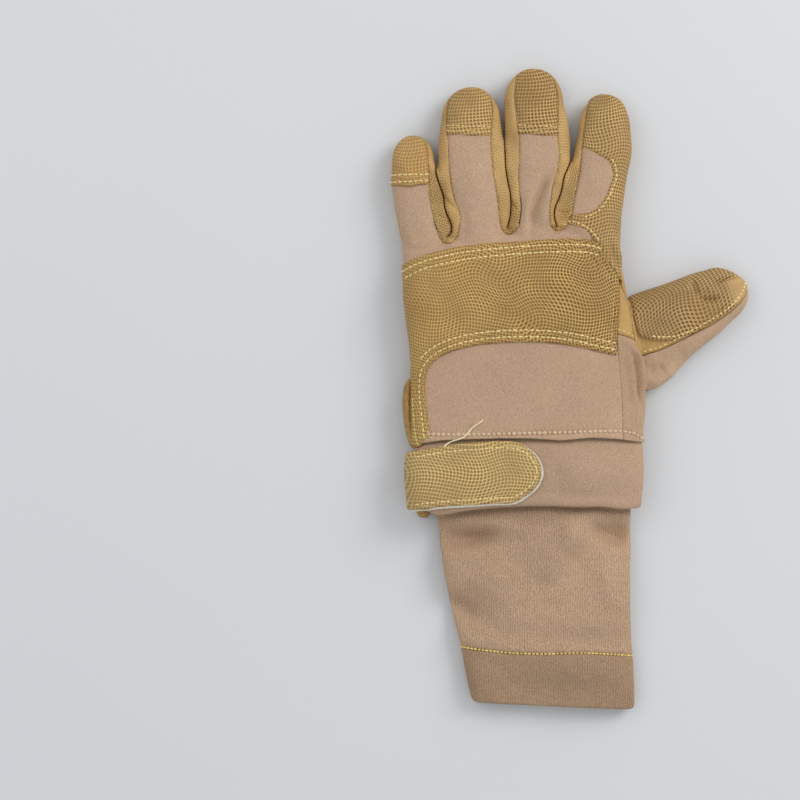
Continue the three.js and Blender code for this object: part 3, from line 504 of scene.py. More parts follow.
BESIDE_PUCKERS = {"away": 1.7, "reach": 1.1, "swing": 0.18}
LAP_RISE, LAP_WIDTH = 1.1, 5.0
UPPER_SIDE = 8.0  # a point higher than this is on the back of the hand
UNDER_COVERS, COVER_REACH = 0.9, 2.5  # how far the knit sinks under the leather layers
BACK_WAVES = (3, 46, 0.28)


def calc(tree, operation, *values):
    return add_node(tree, "ShaderNodeMath", dict(enumerate(values)), operation=operation).outputs[0]


def remap(tree, value, low, high, to_low=0.0, to_high=1.0, **settings):
    inputs = {0: value, 1: low, 2: high, 3: to_low, 4: to_high}
    return add_node(tree, "ShaderNodeMapRange", inputs, **settings).outputs[0]


def grey(tree, value):
    return add_node(tree, "ShaderNodeCombineColor", {0: value, 1: value, 2: value}).outputs[0]


def relief(tree, shader, height, strength, reach):
    """Bumps a finish. The reach is in millimetres."""
    inputs = {"Strength": strength, "Distance": reach * MM, "Height": height}
    tree.links.new(add_node(tree, "ShaderNodeBump", inputs).outputs[0], shader.inputs["Normal"])


def shader_group(name, numbers, results):
    """An empty group: a place in millimetres and some numbers go in, and other numbers come out."""
    tree = bpy.data.node_groups.new(name, "ShaderNodeTree")
    tree.interface.new_socket("Place", in_out="INPUT", socket_type="NodeSocketVector")
    for way, keys in (("INPUT", numbers), ("OUTPUT", results)):
        for key in keys:
            tree.interface.new_socket(key, in_out=way, socket_type="NodeSocketFloat")
    return tree, tree.nodes.new("NodeGroupInput").outputs, tree.nodes.new("NodeGroupOutput").inputs


RIB_CONTRAST = 0.3
STREAKS = (3.2, 1.0, 3.2)  # the heathered threads run along the glove


def knit_group():
    """Fine upright ribs with a heathered mix of threads."""
    tree, given, out = shader_group("heathered_knit", ("Rib", "Heather"), ("Threads", "Height"))
    apart = add_node(tree, "ShaderNodeSeparateXYZ", {0: given["Place"]}).outputs
    sway = noise(tree, given["Place"], 0.25, 1.0)
    across = calc(tree, "ADD", apart[0], calc(tree, "MULTIPLY", sway, 1.6))
    turn = calc(tree, "MULTIPLY", calc(tree, "DIVIDE", across, given["Rib"]), 2 * math.pi)
    rib = calc(tree, "MULTIPLY_ADD", calc(tree, "SINE", turn), 0.5, 0.5)
    stretched = add_node(tree, "ShaderNodeMapping", {"Vector": given["Place"], "Scale": STREAKS}).outputs[0]
    streak = noise(tree, stretched, 1.0, 3.0)
    speck = noise(tree, given["Place"], 2.6, 2.0)
    mixed = calc(tree, "ADD", calc(tree, "MULTIPLY", streak, 0.6), calc(tree, "MULTIPLY", speck, 0.4))
    spread = calc(tree, "MULTIPLY", calc(tree, "SUBTRACT", mixed, 0.5), given["Heather"])
    contrast = calc(tree, "MULTIPLY", calc(tree, "SUBTRACT", rib, 0.5), RIB_CONTRAST)
    tree.links.new(calc(tree, "ADD", calc(tree, "ADD", spread, 0.5), contrast), out["Threads"])
    height = calc(tree, "ADD", calc(tree, "MULTIPLY", rib, 0.6), calc(tree, "MULTIPLY", mixed, 0.8))
    tree.links.new(height, out["Height"])
    return tree


def placed(tree, attribute=None):
    """The place on the surface in millimetres: from the piece's own flat attribute, or from its object."""
    if attribute:
        source = add_node(tree, "ShaderNodeAttribute", attribute_name=attribute).outputs["Vector"]
    else:
        source = add_node(tree, "ShaderNodeTexCoord").outputs["Object"]
    return add_node(tree, "ShaderNodeVectorMath", {0: source, 3: 1 / MM}, operation="SCALE").outputs[0]


HEATHERED_KNIT = knit_group()


def knit_finish(name, light, dark, rib=0.55, heather=2.6, bump=0.22):
    material, tree, shader = new_finish(name, 0.92)
    place = placed(tree)
    numbers = {"Place": place, "Rib": rib, "Heather": heather}
    knit = add_node(tree, "ShaderNodeGroup", numbers, node_tree=HEATHERED_KNIT)
    threads = calc(tree, "MINIMUM", calc(tree, "MAXIMUM", knit.outputs[0], 0.0), 1.0)
    color = blend_colors(tree, threads, linear(dark), linear(light))
    shade = grey(tree, remap(tree, noise(tree, place, 0.035, 2.0), 0.3, 0.7, 0.93, 1.05))
    tree.links.new(blend_colors(tree, 1.0, color, shade, "MULTIPLY"), shader.inputs["Base Color"])
    relief(tree, shader, knit.outputs[1], bump, 0.4)
    shader.inputs["Sheen Weight"].default_value = 0.25
    shader.inputs["Sheen Roughness"].default_value = 0.5
    shader.inputs["Sheen Tint"].default_value = linear((240, 225, 205))
    shader.inputs["Specular IOR Level"].default_value = 0.2
    return material


hand_knit = knit_finish("hand_knit", (207, 176, 148), (160, 129, 103))


def line_distance(points, line):
    """The distance seen from above to an open line, and how far along it the nearest point is."""
    line = np.asarray(line)
    best = np.full(len(points), np.inf)
    along = np.zeros(len(points))
    start = 0.0
    for a, b in zip(line[:-1], line[1:]):
        edge = b - a
        length = np.linalg.norm(edge)
        share = np.clip((points[:, :2] - a) @ edge / length**2, 0, 1)
        away = np.linalg.norm(points[:, :2] - a - share[:, None] * edge, axis=1)
        closer = away < best
        best[closer] = away[closer]
        along[closer] = start + share[closer] * length
        start += length
    return best, along


FADING_SHARE = 0.3  # how much of a fold's length each of its ends takes to fade


def folds(points, table):
    """Height changes from folds: a line of pixels each, with its half width and height in millimetres."""
    change = np.zeros(len(points))
    for line, width, height in table:
        path = bent(seen(line))
        away, along = line_distance(points, path)
        length = np.linalg.norm(np.diff(path, axis=0), axis=1).sum()
        ends = np.clip(np.minimum(along, length - along) / (FADING_SHARE * length), 0, 1)
        change += height * np.exp(-((away / width) ** 2)) * (0.15 + 0.85 * ends * ends * (3 - 2 * ends))
    return change


WAVE_COUNT = 9


def waves(points, seed, size, height, stretch=(1.0, 1.0)):
    """Soft uneven waves over a surface, from a few sine waves in fixed random directions."""
    draw = np.random.default_rng(seed)
    total = np.zeros(len(points))
    for _ in range(WAVE_COUNT):
        turn, phase = draw.uniform(0, 2 * np.pi, 2)
        pace = 2 * np.pi / (size * draw.uniform(0.7, 1.5))
        way = np.array([math.cos(turn) * stretch[0], math.sin(turn) * stretch[1]])
        total += np.sin(pace * (points[:, :2] @ way) + phase + 0.12 * points[:, 2])
    return height * total / math.sqrt(WAVE_COUNT)


def puckered(points, line, pitch, reach, depth, swing):
    """The distance to a stitch row, the beat of its stitches, and how they draw the knit down."""
    away, along = line_distance(points, line)
    beat = 2 * np.pi * along / pitch
    return away, beat, np.exp(-((away / reach) ** 2)) * (-depth + swing * np.cos(beat))


def lap_rise(points):
    """The lower edge rises where it laps over the band."""
    lip = np.clip((SHIFT[1] + LAP_WIDTH - points[:, 1]) / LAP_WIDTH, 0, 1)
    return LAP_RISE * lip * (points[:, 2] > UPPER_SIDE)


def back_shape(points, away):
    change = folds(points, KNIT_BACK_FOLDS) + waves(points, *BACK_WAVES)
    from_row, beat, puckers = puckered(points, PUCKER_LINE, PUCKER_PITCH, *PUCKERS)
    change += puckers
    beside = np.exp(-(((from_row - BESIDE_PUCKERS["away"]) / BESIDE_PUCKERS["reach"]) ** 2))
    change += BESIDE_PUCKERS["swing"] * beside * np.cos(beat + np.pi)
    covered = np.maximum.reduce([-outside(points, outline) for outline in COVERS])
    return change + lap_rise(points) - UNDER_COVERS * np.clip(covered / COVER_REACH, 0, 1)


ROLLED_EDGE = 1.5  # how far from its cut edge a panel starts to round over
TURNED_DEPTH, KNIT_DEPTH = 1.6, 1.7
TABLE_GAP = 0.05
NEAR_CUT = 0.03  # a point this near a cut counts as inside, so that no sliver forms


def normals_of(points, faces):
    a, b, c = points[faces[:, 0]], points[faces[:, 1]], points[faces[:, 2]]
    face = np.cross(b - a, c - a)
    total = np.stack([
        sum(np.bincount(faces[:, k], face[:, axis], len(points)) for k in range(3)) for axis in range(3)
    ], axis=1)
    return total / np.maximum(np.linalg.norm(total, axis=1), 1e-12)[:, None]


skin_normals = normals_of(skin, skin_triangles)


def clipped(points, faces, field, carried):
    """The part of a skin where a field is negative, cut along its zero line. Carried values go along."""
    field = np.where(np.abs(field) < NEAR_CUT, -NEAR_CUT, field)
    inside = field < 0
    kept = inside[faces].sum(axis=1)
    whole = faces[kept == 3]
    table = np.column_stack([points, field, carried])
    lone = {1: faces[kept == 1], 2: faces[kept == 2]}
    for count, rows in lone.items():
        odd = np.argmax(inside[rows] == (count == 1), axis=1)
        lone[count] = np.stack([rows[np.arange(len(rows)), (odd + k) % 3] for k in range(3)], axis=1)
    cuts = np.vstack([lone[1][:, [0, 1]], lone[1][:, [0, 2]], lone[2][:, [0, 1]], lone[2][:, [0, 2]]])
    edges, which = np.unique(np.sort(cuts, axis=1), axis=0, return_inverse=True)
    which = which.ravel() + len(points)
    share = field[edges[:, 0]] / (field[edges[:, 0]] - field[edges[:, 1]])
    crossing = table[edges[:, 0]] + share[:, None] * (table[edges[:, 1]] - table[edges[:, 0]])
    one, two = len(lone[1]), len(lone[2])
    ab, ac = which[:one], which[one : 2 * one]
    db, dc = which[2 * one : 2 * one + two], which[2 * one + two :]
    new = np.vstack([
        whole,
        np.column_stack([lone[1][:, 0], ab, ac]),
        np.column_stack([db, lone[2][:, 1], lone[2][:, 2]]),
        np.column_stack([db, lone[2][:, 2], dc]),
    ])
    used, new = np.unique(new, return_inverse=True)
    table = np.vstack([table, crossing])[used]
    return table[:, :3], new.reshape(-1, 3), table[:, 3], table[:, 4:]


def largest(points, faces):
    """Which points belong to the largest connected piece of a skin."""
    label = np.arange(len(points))
    while True:
        low = label[faces].min(axis=1)
        new = label.copy()
        for k in range(3):
            np.minimum.at(new, faces[:, k], low)
        new = new[new]
        if (new == label).all():
            break
        label = new
    return label == np.bincount(label[faces[:, 0]]).argmax()


def turned_in(points, faces, normals, depth, steps=2):
    """Folds a skin's cut edges inwards, against its normals, as the turned edge of a panel."""
    pairs = np.vstack([faces[:, [0, 1]], faces[:, [1, 2]], faces[:, [2, 0]]])
    order = np.sort(pairs, axis=1)
    unique, first, count = np.unique(order, axis=0, return_index=True, return_counts=True)
    rim = pairs[first[count == 1]]
    ends, rim = np.unique(rim, return_inverse=True)
    rim = rim.reshape(-1, 2)
    ring, total, walls = ends, len(points), []
    layers = [points]
    for step in range(1, steps + 1):
        layers.append(points[ends] - normals[ends] * depth * step / steps)
        lower = np.arange(len(ends)) + total
        total += len(ends)
        walls.append(np.column_stack([ring[rim[:, 1]], ring[rim[:, 0]], lower[rim[:, 0]]]))
        walls.append(np.column_stack([ring[rim[:, 1]], lower[rim[:, 0]], lower[rim[:, 1]]]))
        ring = lower
    sources = np.concatenate([np.arange(len(points)), *[ends] * steps])
    return np.vstack(layers), np.vstack([faces, *walls]), sources


def unrolled(away, height, half, top):
    """Places across a sleeve, laid flat: they go on growing down its sides, as the leather does."""
    side = np.clip(away / (0.6 * half), -1, 1)
    return away + 0.85 * side * np.maximum(top - height, 0)


def palm_flat(points):
    at = np.clip((points[:, 1] - SHIFT[1]) / PALM["length"], 0, 1)
    left, right, low, high = palm_row(at)
    middle = SHIFT[0] + (left + right) / 2 * PALM["width"]
    half = (right - left) / 2 * PALM["width"]
    across = unrolled(points[:, 0] - middle, points[:, 2], half, high * PALM["thickness"])
    return np.column_stack([across, points[:, 1], points[:, 2] * 0])


def sewn_in(piece, node, material):
    """Gives a piece its finish, and makes it stand for its node."""
    piece.data.shade_smooth()
    piece.data.materials.append(material)
    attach(piece, "root")
    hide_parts(node)
    return piece


def finished(name, points, faces, material, flat_place, pressed):
    """Makes a piece from points and triangles, with its flat places and how strongly it is pressed (on the
    knuckle guard this also carries painted shade).
    """
    piece = mesh_object(f"soft_{name}", points, faces)
    values = piece.data.attributes.new("flat", "FLOAT_VECTOR", "POINT")
    values.data.foreach_set("vector", (flat_place * MM).astype(np.float32).ravel())
    strength = piece.data.attributes.new("press_and_painted_shade", "FLOAT", "POINT")
    strength.data.foreach_set("value", pressed.astype(np.float32))
    return sewn_in(piece, name, material)


def rounding(distance, reach):
    """How far a rounded edge falls, from 1 at the edge to 0 at its reach."""
    return 1 - np.sqrt(1 - np.minimum(np.clip(1 - distance / reach, 0, 1), 0.999) ** 2)


def panel(name, field, material, lift=0.0, drop=0.7, shape=None, flat=palm_flat, edge=ROLLED_EDGE,
          depth=TURNED_DEPTH, base=None, press_and_painted_shade=None):
    """Cuts a panel from a skin, raises it, rounds its edges over and turns them in, and makes it a piece.

    The lift and the drop of its edges are distances, or functions that give them for each point.
    """
    points, faces, normals = base or (skin, skin_triangles, skin_normals)
    points, faces, away, normals = clipped(points, faces, field, normals)
    keep = largest(points, faces)
    number = np.cumsum(keep) - 1
    faces = number[faces[keep[faces[:, 0]]]]
    points, away, normals = points[keep], away[keep], normals[keep]
    pressed = press_and_painted_shade(points) if press_and_painted_shade else np.ones(len(points))
    normals /= np.linalg.norm(normals, axis=1)[:, None]
    lift, drop = [value(points) if callable(value) else value for value in (lift, drop)]
    height = lift - drop * rounding(-away, edge)
    if shape is not None:
        height += shape(points, away)
    flat_place = flat(points)
    raised = points + normals * height[:, None]
    raised[:, 2] = np.maximum(raised[:, 2], 0.0)
    final, faces, sources = turned_in(raised, faces, normals, depth)
    final[:, 2] = np.maximum(final[:, 2], TABLE_GAP)
    return finished(name, final, faces, material, flat_place[sources], pressed[sources])


beside_panel = (skin[:, 0] > 15) & (skin[:, 1] < 16)
back_cut = np.maximum.reduce([
    back_field + np.where(beside_panel, 0.04, SEAM), -any_strip + SEAM, -thumb_field + SEAM,
])
# The lower edge waves where it laps over the band.
LAP_LINE = seen([
    (380, 441), (405, 446), (425, 442), (442, 439.5), (465, 438.5), (499, 437.5), (530, 437.5),
    (560, 439.5), (590, 436.8), (615, 438), (634, 440.5), (650, 443), (680, 446),
])
lap = (np.interp(skin[:, 0], LAP_LINE[:, 0], LAP_LINE[:, 1]) - 0.3) - skin[:, 1]

BACK_DROP = 0.45  # how far the back's edges fall at a seam
FLATTER = 0.25  # how much less they fall beside the side panel


def light_seam(points):
    """The seam beside the side panel lies almost flat."""
    near = np.clip((points[:, 0] - 10) / 6, 0, 1) * np.clip((18 - points[:, 1]) / 4, 0, 1)
    return BACK_DROP - FLATTER * near * (points[:, 1] > SHIFT[1] + 3)


back = panel("back_fabric", np.maximum(back_cut, lap), hand_knit, drop=light_seam,
             shape=back_shape, depth=KNIT_DEPTH)

# Side panel
# A gusset of the same knit fills the gap between the back and the thumb. It is sewn flat to the back,
# and one soft fold runs down its length.
side_outline = np.vstack([
    BACK_SIDE[7:], [[FAR, -60], [FAR, 10]], seen([(645, 352), (636.5, 342.5), (630, 338.5), (622, 336)]),
])
side_field = np.maximum.reduce([outside(skin, side_outline), side_cut, -back_field])

SIDE_FOLDS = [
    ([(627, 342), (636, 355), (641, 372), (643, 395)], 1.5, 2.2),
    ([(629, 347), (634, 358), (637, 372), (639, 392), (641, 412)], 1.3, -2.4),
    ([(622, 352), (625, 370), (628, 390), (629, 415)], 2.6, -1.3),
]


def side_shape(points, away):
    _, _, puckers = puckered(points, PUCKER_LINE, PUCKER_PITCH, *PUCKERS)
    return folds(points, SIDE_FOLDS) + waves(points, 8, 24, 0.25) + puckers + lap_rise(points)


# The side panel's knit is the back's knit painted darker: painted shade, for the shade the panel lies in
# along its fold.
side_knit_painted_shade = knit_finish("side_knit_painted_shade", (199, 168, 139), (150, 120, 94))
side_cut_field = np.maximum.reduce([side_field + 0.04, -thumb_field + SEAM, lap])
side_panel = panel("side_panel", side_cut_field, side_knit_painted_shade, drop=0.25, shape=side_shape,
                   depth=KNIT_DEPTH)

# Leather palm
# Golden goatskin covers the front of the hand and fingers and comes up round the outer sides to the
# back's seam. It is one plain panel with a fine grain, flat where it lies on the table.
wrist_cut = (SHIFT[1] + 0.4) - skin[:, 1]
palm_cut = np.maximum.reduce([
    -back_field + SEAM, -any_strip + SEAM, -side_field + SEAM, -thumb_field + SEAM, wrist_cut,
])


def grain_group():
    """Fine leather grain: small pebbles with creases between them."""
    tree, given, out = shader_group("leather_grain", ("Pebble",), ("Crease", "Height"))
    inputs = {"Vector": given["Place"], "Scale": calc(tree, "DIVIDE", 1.0, given["Pebble"])}
    cells = add_node(tree, "ShaderNodeTexVoronoi", inputs, feature="DISTANCE_TO_EDGE")
    pebble = remap(tree, cells.outputs["Distance"], 0.0, 0.3, interpolation_type="SMOOTHSTEP")
    pores = noise(tree, given["Place"], 2.5, 3.0)
    tree.links.new(calc(tree, "SUBTRACT", 1.0, pebble), out["Crease"])
    height = calc(tree, "ADD", calc(tree, "MULTIPLY", pebble, 0.7), calc(tree, "MULTIPLY", pores, 0.5))
    tree.links.new(height, out["Height"])
    return tree


LEATHER_GRAIN = grain_group()


def leather_finish(name, light, dark, pebble=0.8, bump=0.3, mottle=1.0):
    material, tree, shader = new_finish(name, 0.6)
    light, dark = linear(light), linear(dark)
    place = placed(tree)
    grain = add_node(tree, "ShaderNodeGroup", {"Place": place, "Pebble": pebble}, node_tree=LEATHER_GRAIN)
    cloud = noise(tree, place, 0.12, 3.0)
    spots = noise(tree, place, 0.9, 2.0)
    mixed = calc(tree, "ADD", calc(tree, "MULTIPLY", cloud, 0.6), calc(tree, "MULTIPLY", spots, 0.4))
    tone = remap(tree, mixed, 0.5 - 0.2 / mottle, 0.5 + 0.2 / mottle)
    color = blend_colors(tree, tone, dark, light)
    creased = blend_colors(tree, calc(tree, "MULTIPLY", grain.outputs[0], 0.35), color, dark)
    tree.links.new(creased, shader.inputs["Base Color"])
    relief(tree, shader, grain.outputs[1], bump, 0.5)
    shader.inputs["Specular IOR Level"].default_value = 0.35
    return material


smooth_leather = leather_finish("smooth_leather", (204, 166, 104), (174, 136, 78), 0.8, 0.35)


def palm_shape(points, away):
    return waves(points, 5, 30, 0.2) * (points[:, 2] > 3)


palm = panel("palm_leather", palm_cut, smooth_leather, drop=0.8, shape=palm_shape)

# Strips between the fingers
# Narrow strips of pebbled leather run down one finger, round the crotch and up the next, plump with
# their own turned edges. The two arms of each strip press together in a dark slit.
DOT_NUMBERS = ("Pitch", "Column wave", "Row wave", "Column reach", "Row reach", "Softness")
DOT_SQUARENESS = 3.0
DOT_EDGE = (0.30, 0.34)  # where a dot's rim starts and ends, as shares of the pitch
WARM_PATCHES = (192, 146, 80)


def pressed_group():
    """Leather pressed with waving rows of square dots. Its place runs across and along the piece."""
    tree, given, out = shader_group("pressed_dots", DOT_NUMBERS, ("Dot", "Height"))
    apart = add_node(tree, "ShaderNodeSeparateXYZ", {0: given["Place"]}).outputs
    drift = calc(tree, "MULTIPLY", noise(tree, given["Place"], 0.03, 0.0), 5.0)

    def wave(along, reach, height):
        rounds = calc(tree, "DIVIDE", along, reach)
        turn = calc(tree, "ADD", calc(tree, "MULTIPLY", rounds, 2 * math.pi), drift)
        return calc(tree, "MULTIPLY", calc(tree, "SINE", turn), height)

    def from_middle(v):
        cell = calc(tree, "FRACT", calc(tree, "DIVIDE", v, given["Pitch"]))
        return calc(tree, "ABSOLUTE", calc(tree, "SUBTRACT", cell, 0.5))

    across = calc(tree, "ADD", apart[0], wave(apart[1], given["Column reach"], given["Column wave"]))
    along = calc(tree, "ADD", apart[1], wave(apart[0], given["Row reach"], given["Row wave"]))
    cell = [from_middle(v) for v in (across, along)]
    uneven = noise(tree, given["Place"], 0.8, 1.0)
    cubes = [calc(tree, "POWER", c, DOT_SQUARENESS) for c in cell]
    far = calc(tree, "POWER", calc(tree, "ADD", *cubes), 1 / DOT_SQUARENESS)
    far = calc(tree, "ADD", far, calc(tree, "MULTIPLY", calc(tree, "SUBTRACT", uneven, 0.5), 0.2))
    low = calc(tree, "SUBTRACT", DOT_EDGE[0], given["Softness"])
    high = calc(tree, "ADD", DOT_EDGE[1], given["Softness"])
    shade = remap(tree, far, low, high, 1.0, 0.0, interpolation_type="SMOOTHSTEP")
    tree.links.new(shade, out["Dot"])
    tree.links.new(calc(tree, "SUBTRACT", 1.0, shade), out["Height"])
    return tree


PRESSED_DOTS = pressed_group()


def pressed_finish(name, line, dot, pitch=1.62, waves_of=(2.4, 1.9), reaches=(27.0, 38.0), depth=0.8,
                   strength=1.0, softness=0.1, warmth=0.35):
    """Dotted leather: pale raised lines between darker pressed dots, with the leather's grain on top."""
    material, tree, shader = new_finish(name, 0.55)
    place = placed(tree, "flat")
    numbers = dict(zip(DOT_NUMBERS, (pitch, *waves_of, *reaches, softness)))
    dots = add_node(tree, "ShaderNodeGroup", {"Place": place, **numbers}, node_tree=PRESSED_DOTS)
    cloud = noise(tree, place, 0.06, 3.0)
    tone = remap(tree, cloud, 0.35, 0.65, 0.8, 1.08)
    patch = remap(tree, cloud, 0.4, 0.65, 0.75, 1.0)
    # The press attribute deepens and darkens the dots. On the knuckle guard, its rise towards the index
    # finger is painted shade.
    press_and_painted_shade = add_node(tree, "ShaderNodeAttribute", attribute_name="press_and_painted_shade").outputs["Fac"]
    mask = dots.outputs[0]
    for factor in (strength, patch, press_and_painted_shade):
        mask = calc(tree, "MULTIPLY", mask, factor)
    warm = calc(tree, "MULTIPLY", remap(tree, noise(tree, place, 0.045, 1.0), 0.42, 0.66), warmth)
    ground = blend_colors(tree, warm, linear(line), linear(WARM_PATCHES))
    ground = blend_colors(tree, 1.0, ground, grey(tree, tone), "MULTIPLY")
    tree.links.new(blend_colors(tree, mask, ground, linear(dot)), shader.inputs["Base Color"])
    dents = calc(tree, "MULTIPLY", dots.outputs[1], press_and_painted_shade)
    grain = calc(tree, "MULTIPLY", noise(tree, place, 3.0, 2.0), 0.25)
    relief(tree, shader, calc(tree, "ADD", dents, grain), depth, 0.4)
    shader.inputs["Specular IOR Level"].default_value = 0.35
    return material


strip_leather = pressed_finish("strip_leather", (208, 170, 110), (140, 105, 58), 1.35, (1.6, 1.3),
                               (16.0, 19.0), 0.8, 0.5, 0.16)
skin_tree = BVHTree.FromPolygons(skin.tolist(), skin_triangles.tolist())
ABOVE = 80  # a height over the whole glove, from where rays look down
ARM_STATION = 0.6
ARM_STEPS = 16
MEETING = 4.0  # the arms come together this far before and after where the fingers touch
FAN_STEPS = 26
SLIT_HALF = 0.26
SLIT_ROUNDING = 1.5
SLIT_DEPTH = 6.5
ARM_DEPTH = 2.2  # how far the arms sag between their seams and the slit
ARM_EASE = 3.0
FREE_EDGE = 5.1  # the height of the arms' edge against the palm's leather, where the fingers are apart
ARM_PUFF = 0.7
SEAM_FALL, SEAM_ROUNDING, SLIT_FALL = 0.5, 0.9, 1.5
TUCK_ASIDE, TUCK_DOWN = 0.45, 0.55  # where the arms go on under the panels beside them
FREE_EDGE_TOP = 8.0  # the arms' free edge lies no higher than this
STRIP_PIECES = {
    "strip_little_ring": {
        "fingers": ("little", "ring"), "touching": 166, "cut": (0.0125, 0.130),
        "slit": [(424, 120), (430, 145), (434.5, 165), (436.7, 177), (440, 187), (443.3, 197),
                 (444.5, 207), (447, 215), (450, 221), (451.5, 227), (450.5, 234), (447.5, 237)],
    },
    "strip_ring_middle": {
        "fingers": ("ring", "middle"), "touching": 140, "cut": (0.0145, 0.145),
        "slit": [(501, 95), (503, 125), (504.7, 153), (505.3, 168), (507.5, 183), (509.7, 194),
                 (510.5, 205), (509.8, 217), (507.5, 227)],
    },
    "strip_middle_index": {
        "fingers": ("middle", "index"), "touching": 160, "cut": (0.0145, 0.140),
        "slit": [(572, 110), (572, 135), (571.5, 155), (567.5, 168), (563.3, 178), (561.5, 188),
                 (558.3, 199), (554.5, 208), (553.5, 217), (556, 226.5)],
    },
}
STRIP_FOLDS = [
    ([(440, 187), (446, 200), (453, 207), (459, 214)], 0.7, -0.9),
    ([(437, 215), (443, 219), (448, 219)], 0.9, -0.5),
    ([(510.5, 200), (514, 208), (518, 211)], 0.6, -0.8),
    ([(553, 211.5), (561, 213), (570.5, 213)], 0.6, -0.9),
]


def skin_height(place):
    hit = skin_tree.ray_cast(Vector((place[0], place[1], ABOVE)), Vector((0, 0, -1)))[0]
    return hit.z if hit else 0.0


def finger_side(finger, y, side):
    """How far out a finger's side is, at some places along the glove."""
    rows = finger_rows(FINGERS[finger])
    along = rows[:, 0] + SHIFT[1]
    return SHIFT[0] + np.interp(y, along, rows[:, 1]) + side * np.interp(y, along, rows[:, 2])


def down_line(line, start, end):
    """Points of a line that runs along the glove, one station apart."""
    y = np.arange(start, end, math.copysign(ARM_STATION, end - start))
    order = np.argsort(line[:, 1])
    return np.column_stack([np.interp(y, line[order, 1], line[order, 0]), y])


def arm_stations(strip, kind):
    """The seam line and the inner line of a strip, down one arm, round the crotch and up the other."""
    down, up = bent(seen(strip["down"])), bent(seen(strip["up"]))
    slit = bent(seen(kind["slit"]))
    end = slit[-1]
    touching = seen([(0, kind["touching"])])[0, 1]
    outer, inner = [], []
    for line, finger, side in ((down, kind["fingers"][0], 1), (up, kind["fingers"][1], -1)):
        top = min(line[:, 1].max(), SHIFT[1] + finger_rows(FINGERS[finger])[-1, 0] - 0.3)
        seam = down_line(line, top, end[1])
        # An arm starts where its seam rises above the palm's leather, at the fingertip.
        seam = seam[np.argmax([skin_height(place) > FREE_EDGE + 0.2 for place in seam]) :]
        slit_x = np.interp(seam[:, 1], slit[::-1, 1], slit[::-1, 0])
        free = finger_side(finger, seam[:, 1], side)
        share = np.clip((touching + MEETING - seam[:, 1]) / (2 * MEETING), 0, 1)
        share = share * share * (3 - 2 * share)
        x = free * (1 - share) + (slit_x - side * SLIT_HALF) * share
        x = np.where(side * (x - seam[:, 0]) > 0.05, x, seam[:, 0] + side * 0.05)
        outer.append(seam)
        inner.append(np.column_stack([x, seam[:, 1], share]))
    turn = bent(np.vstack([outer[0][-1:], seen(strip["round"]), outer[1][-1:]]), 8)
    at = np.linspace(0, len(turn) - 1, FAN_STEPS)[1:-1]
    fan = np.column_stack([np.interp(at, np.arange(len(turn)), turn[:, k]) for k in range(2)])
    around = np.linspace(-SLIT_HALF, SLIT_HALF, len(fan))
    middle = np.column_stack([end[0] + around, np.full(len(fan), end[1]), np.ones(len(fan))])
    return np.vstack([outer[0], fan, outer[1][::-1]]), np.vstack([inner[0], middle, inner[1][::-1]])


# Where the dots are pressed deep: the line, and its half width in millimetres.
DEEP_PRESSING = [
    ([(434, 176), (437, 195), (440, 212), (445, 232)], 3.0),
    ([(579, 172), (575, 188), (571, 202), (568, 214)], 3.2),
    ([(514, 205), (515, 222)], 2.0),
    ([(451, 112), (453, 130)], 2.5),
]
for name, kind in STRIP_PIECES.items():
    outer, inner = arm_stations(STRIPS[name], kind)
    share = inner[:, 2]
    step = np.sin(np.linspace(0, np.pi / 2, ARM_STEPS))
    plan = outer[:, None] + (inner[:, None, :2] - outer[:, None]) * step[:, None]
    width = np.linalg.norm(inner[:, :2] - outer, axis=1)
    seam = np.maximum([skin_height(point) for point in outer], FREE_EDGE)
    level = np.array([[skin_height(point) for point in row] for row in plan])
    level = np.maximum(level, FREE_EDGE)
    level[:, -1] = np.minimum(level[:, -1], np.where(share > 0.5, level[:, -1], FREE_EDGE_TOP))
    fall = np.maximum(seam[:, None] - level, 0)
    eased = ARM_DEPTH * (1 - np.exp(-fall / (ARM_DEPTH * ARM_EASE)))
    level += (fall - eased) * share[:, None]
    from_seam, from_slit = step * width[:, None], (1 - step) * width[:, None]
    at_slit = SLIT_FALL * share[:, None] * rounding(from_slit, SLIT_ROUNDING)
    level -= SEAM_FALL * rounding(from_seam, SEAM_ROUNDING) + at_slit
    level += ARM_PUFF * (1 - np.exp(-from_seam / 1.2)) * np.clip(width / 3, 0, 1)[:, None]
    grid = np.dstack([plan, level])
    rim = level[:, -1] * share + (FREE_EDGE - 0.9) * (1 - share) - SLIT_DEPTH * share
    inset = 0.5 * ((1 - share) / width)[:, None] * (outer - inner[:, :2])
    side = np.column_stack([inner[:, :2] + inset, rim])
    outward = (outer - inner[:, :2]) / width[:, None]
    under = np.column_stack([outer + TUCK_ASIDE * outward, seam - TUCK_DOWN])
    rows = np.concatenate([under[:, None], grid, side[:, None]], axis=1)
    flat_place = rows * (1, 1, 0)
    flat_place[..., 0] += 0.6 * (seam[:, None] - rows[..., 2]) * np.sign(inner[:, 0] - outer[:, 0])[:, None]
    count, steps = rows.shape[:2]
    points = rows.reshape(-1, 3)
    points[:, 2] += folds(points, STRIP_FOLDS) + waves(points, 11, 7, 0.12)
    deep = [np.exp(-((line_distance(points, seen(line))[0] / width) ** 2)) for line, width in DEEP_PRESSING]
    a = (np.arange(count - 1)[:, None] * steps + np.arange(steps - 1)).ravel()
    faces = np.vstack([
        np.column_stack([a, a + 1, a + steps + 1]), np.column_stack([a, a + steps + 1, a + steps]),
    ])
    if normals_of(points, faces)[:, 2].mean() < 0:
        faces = faces[:, ::-1]
    pressed = 0.85 + 1.1 * np.max(deep, axis=0)
    flat_place = flat_place.reshape(-1, 3)
    piece = finished(name, points, faces, strip_leather, flat_place, pressed)

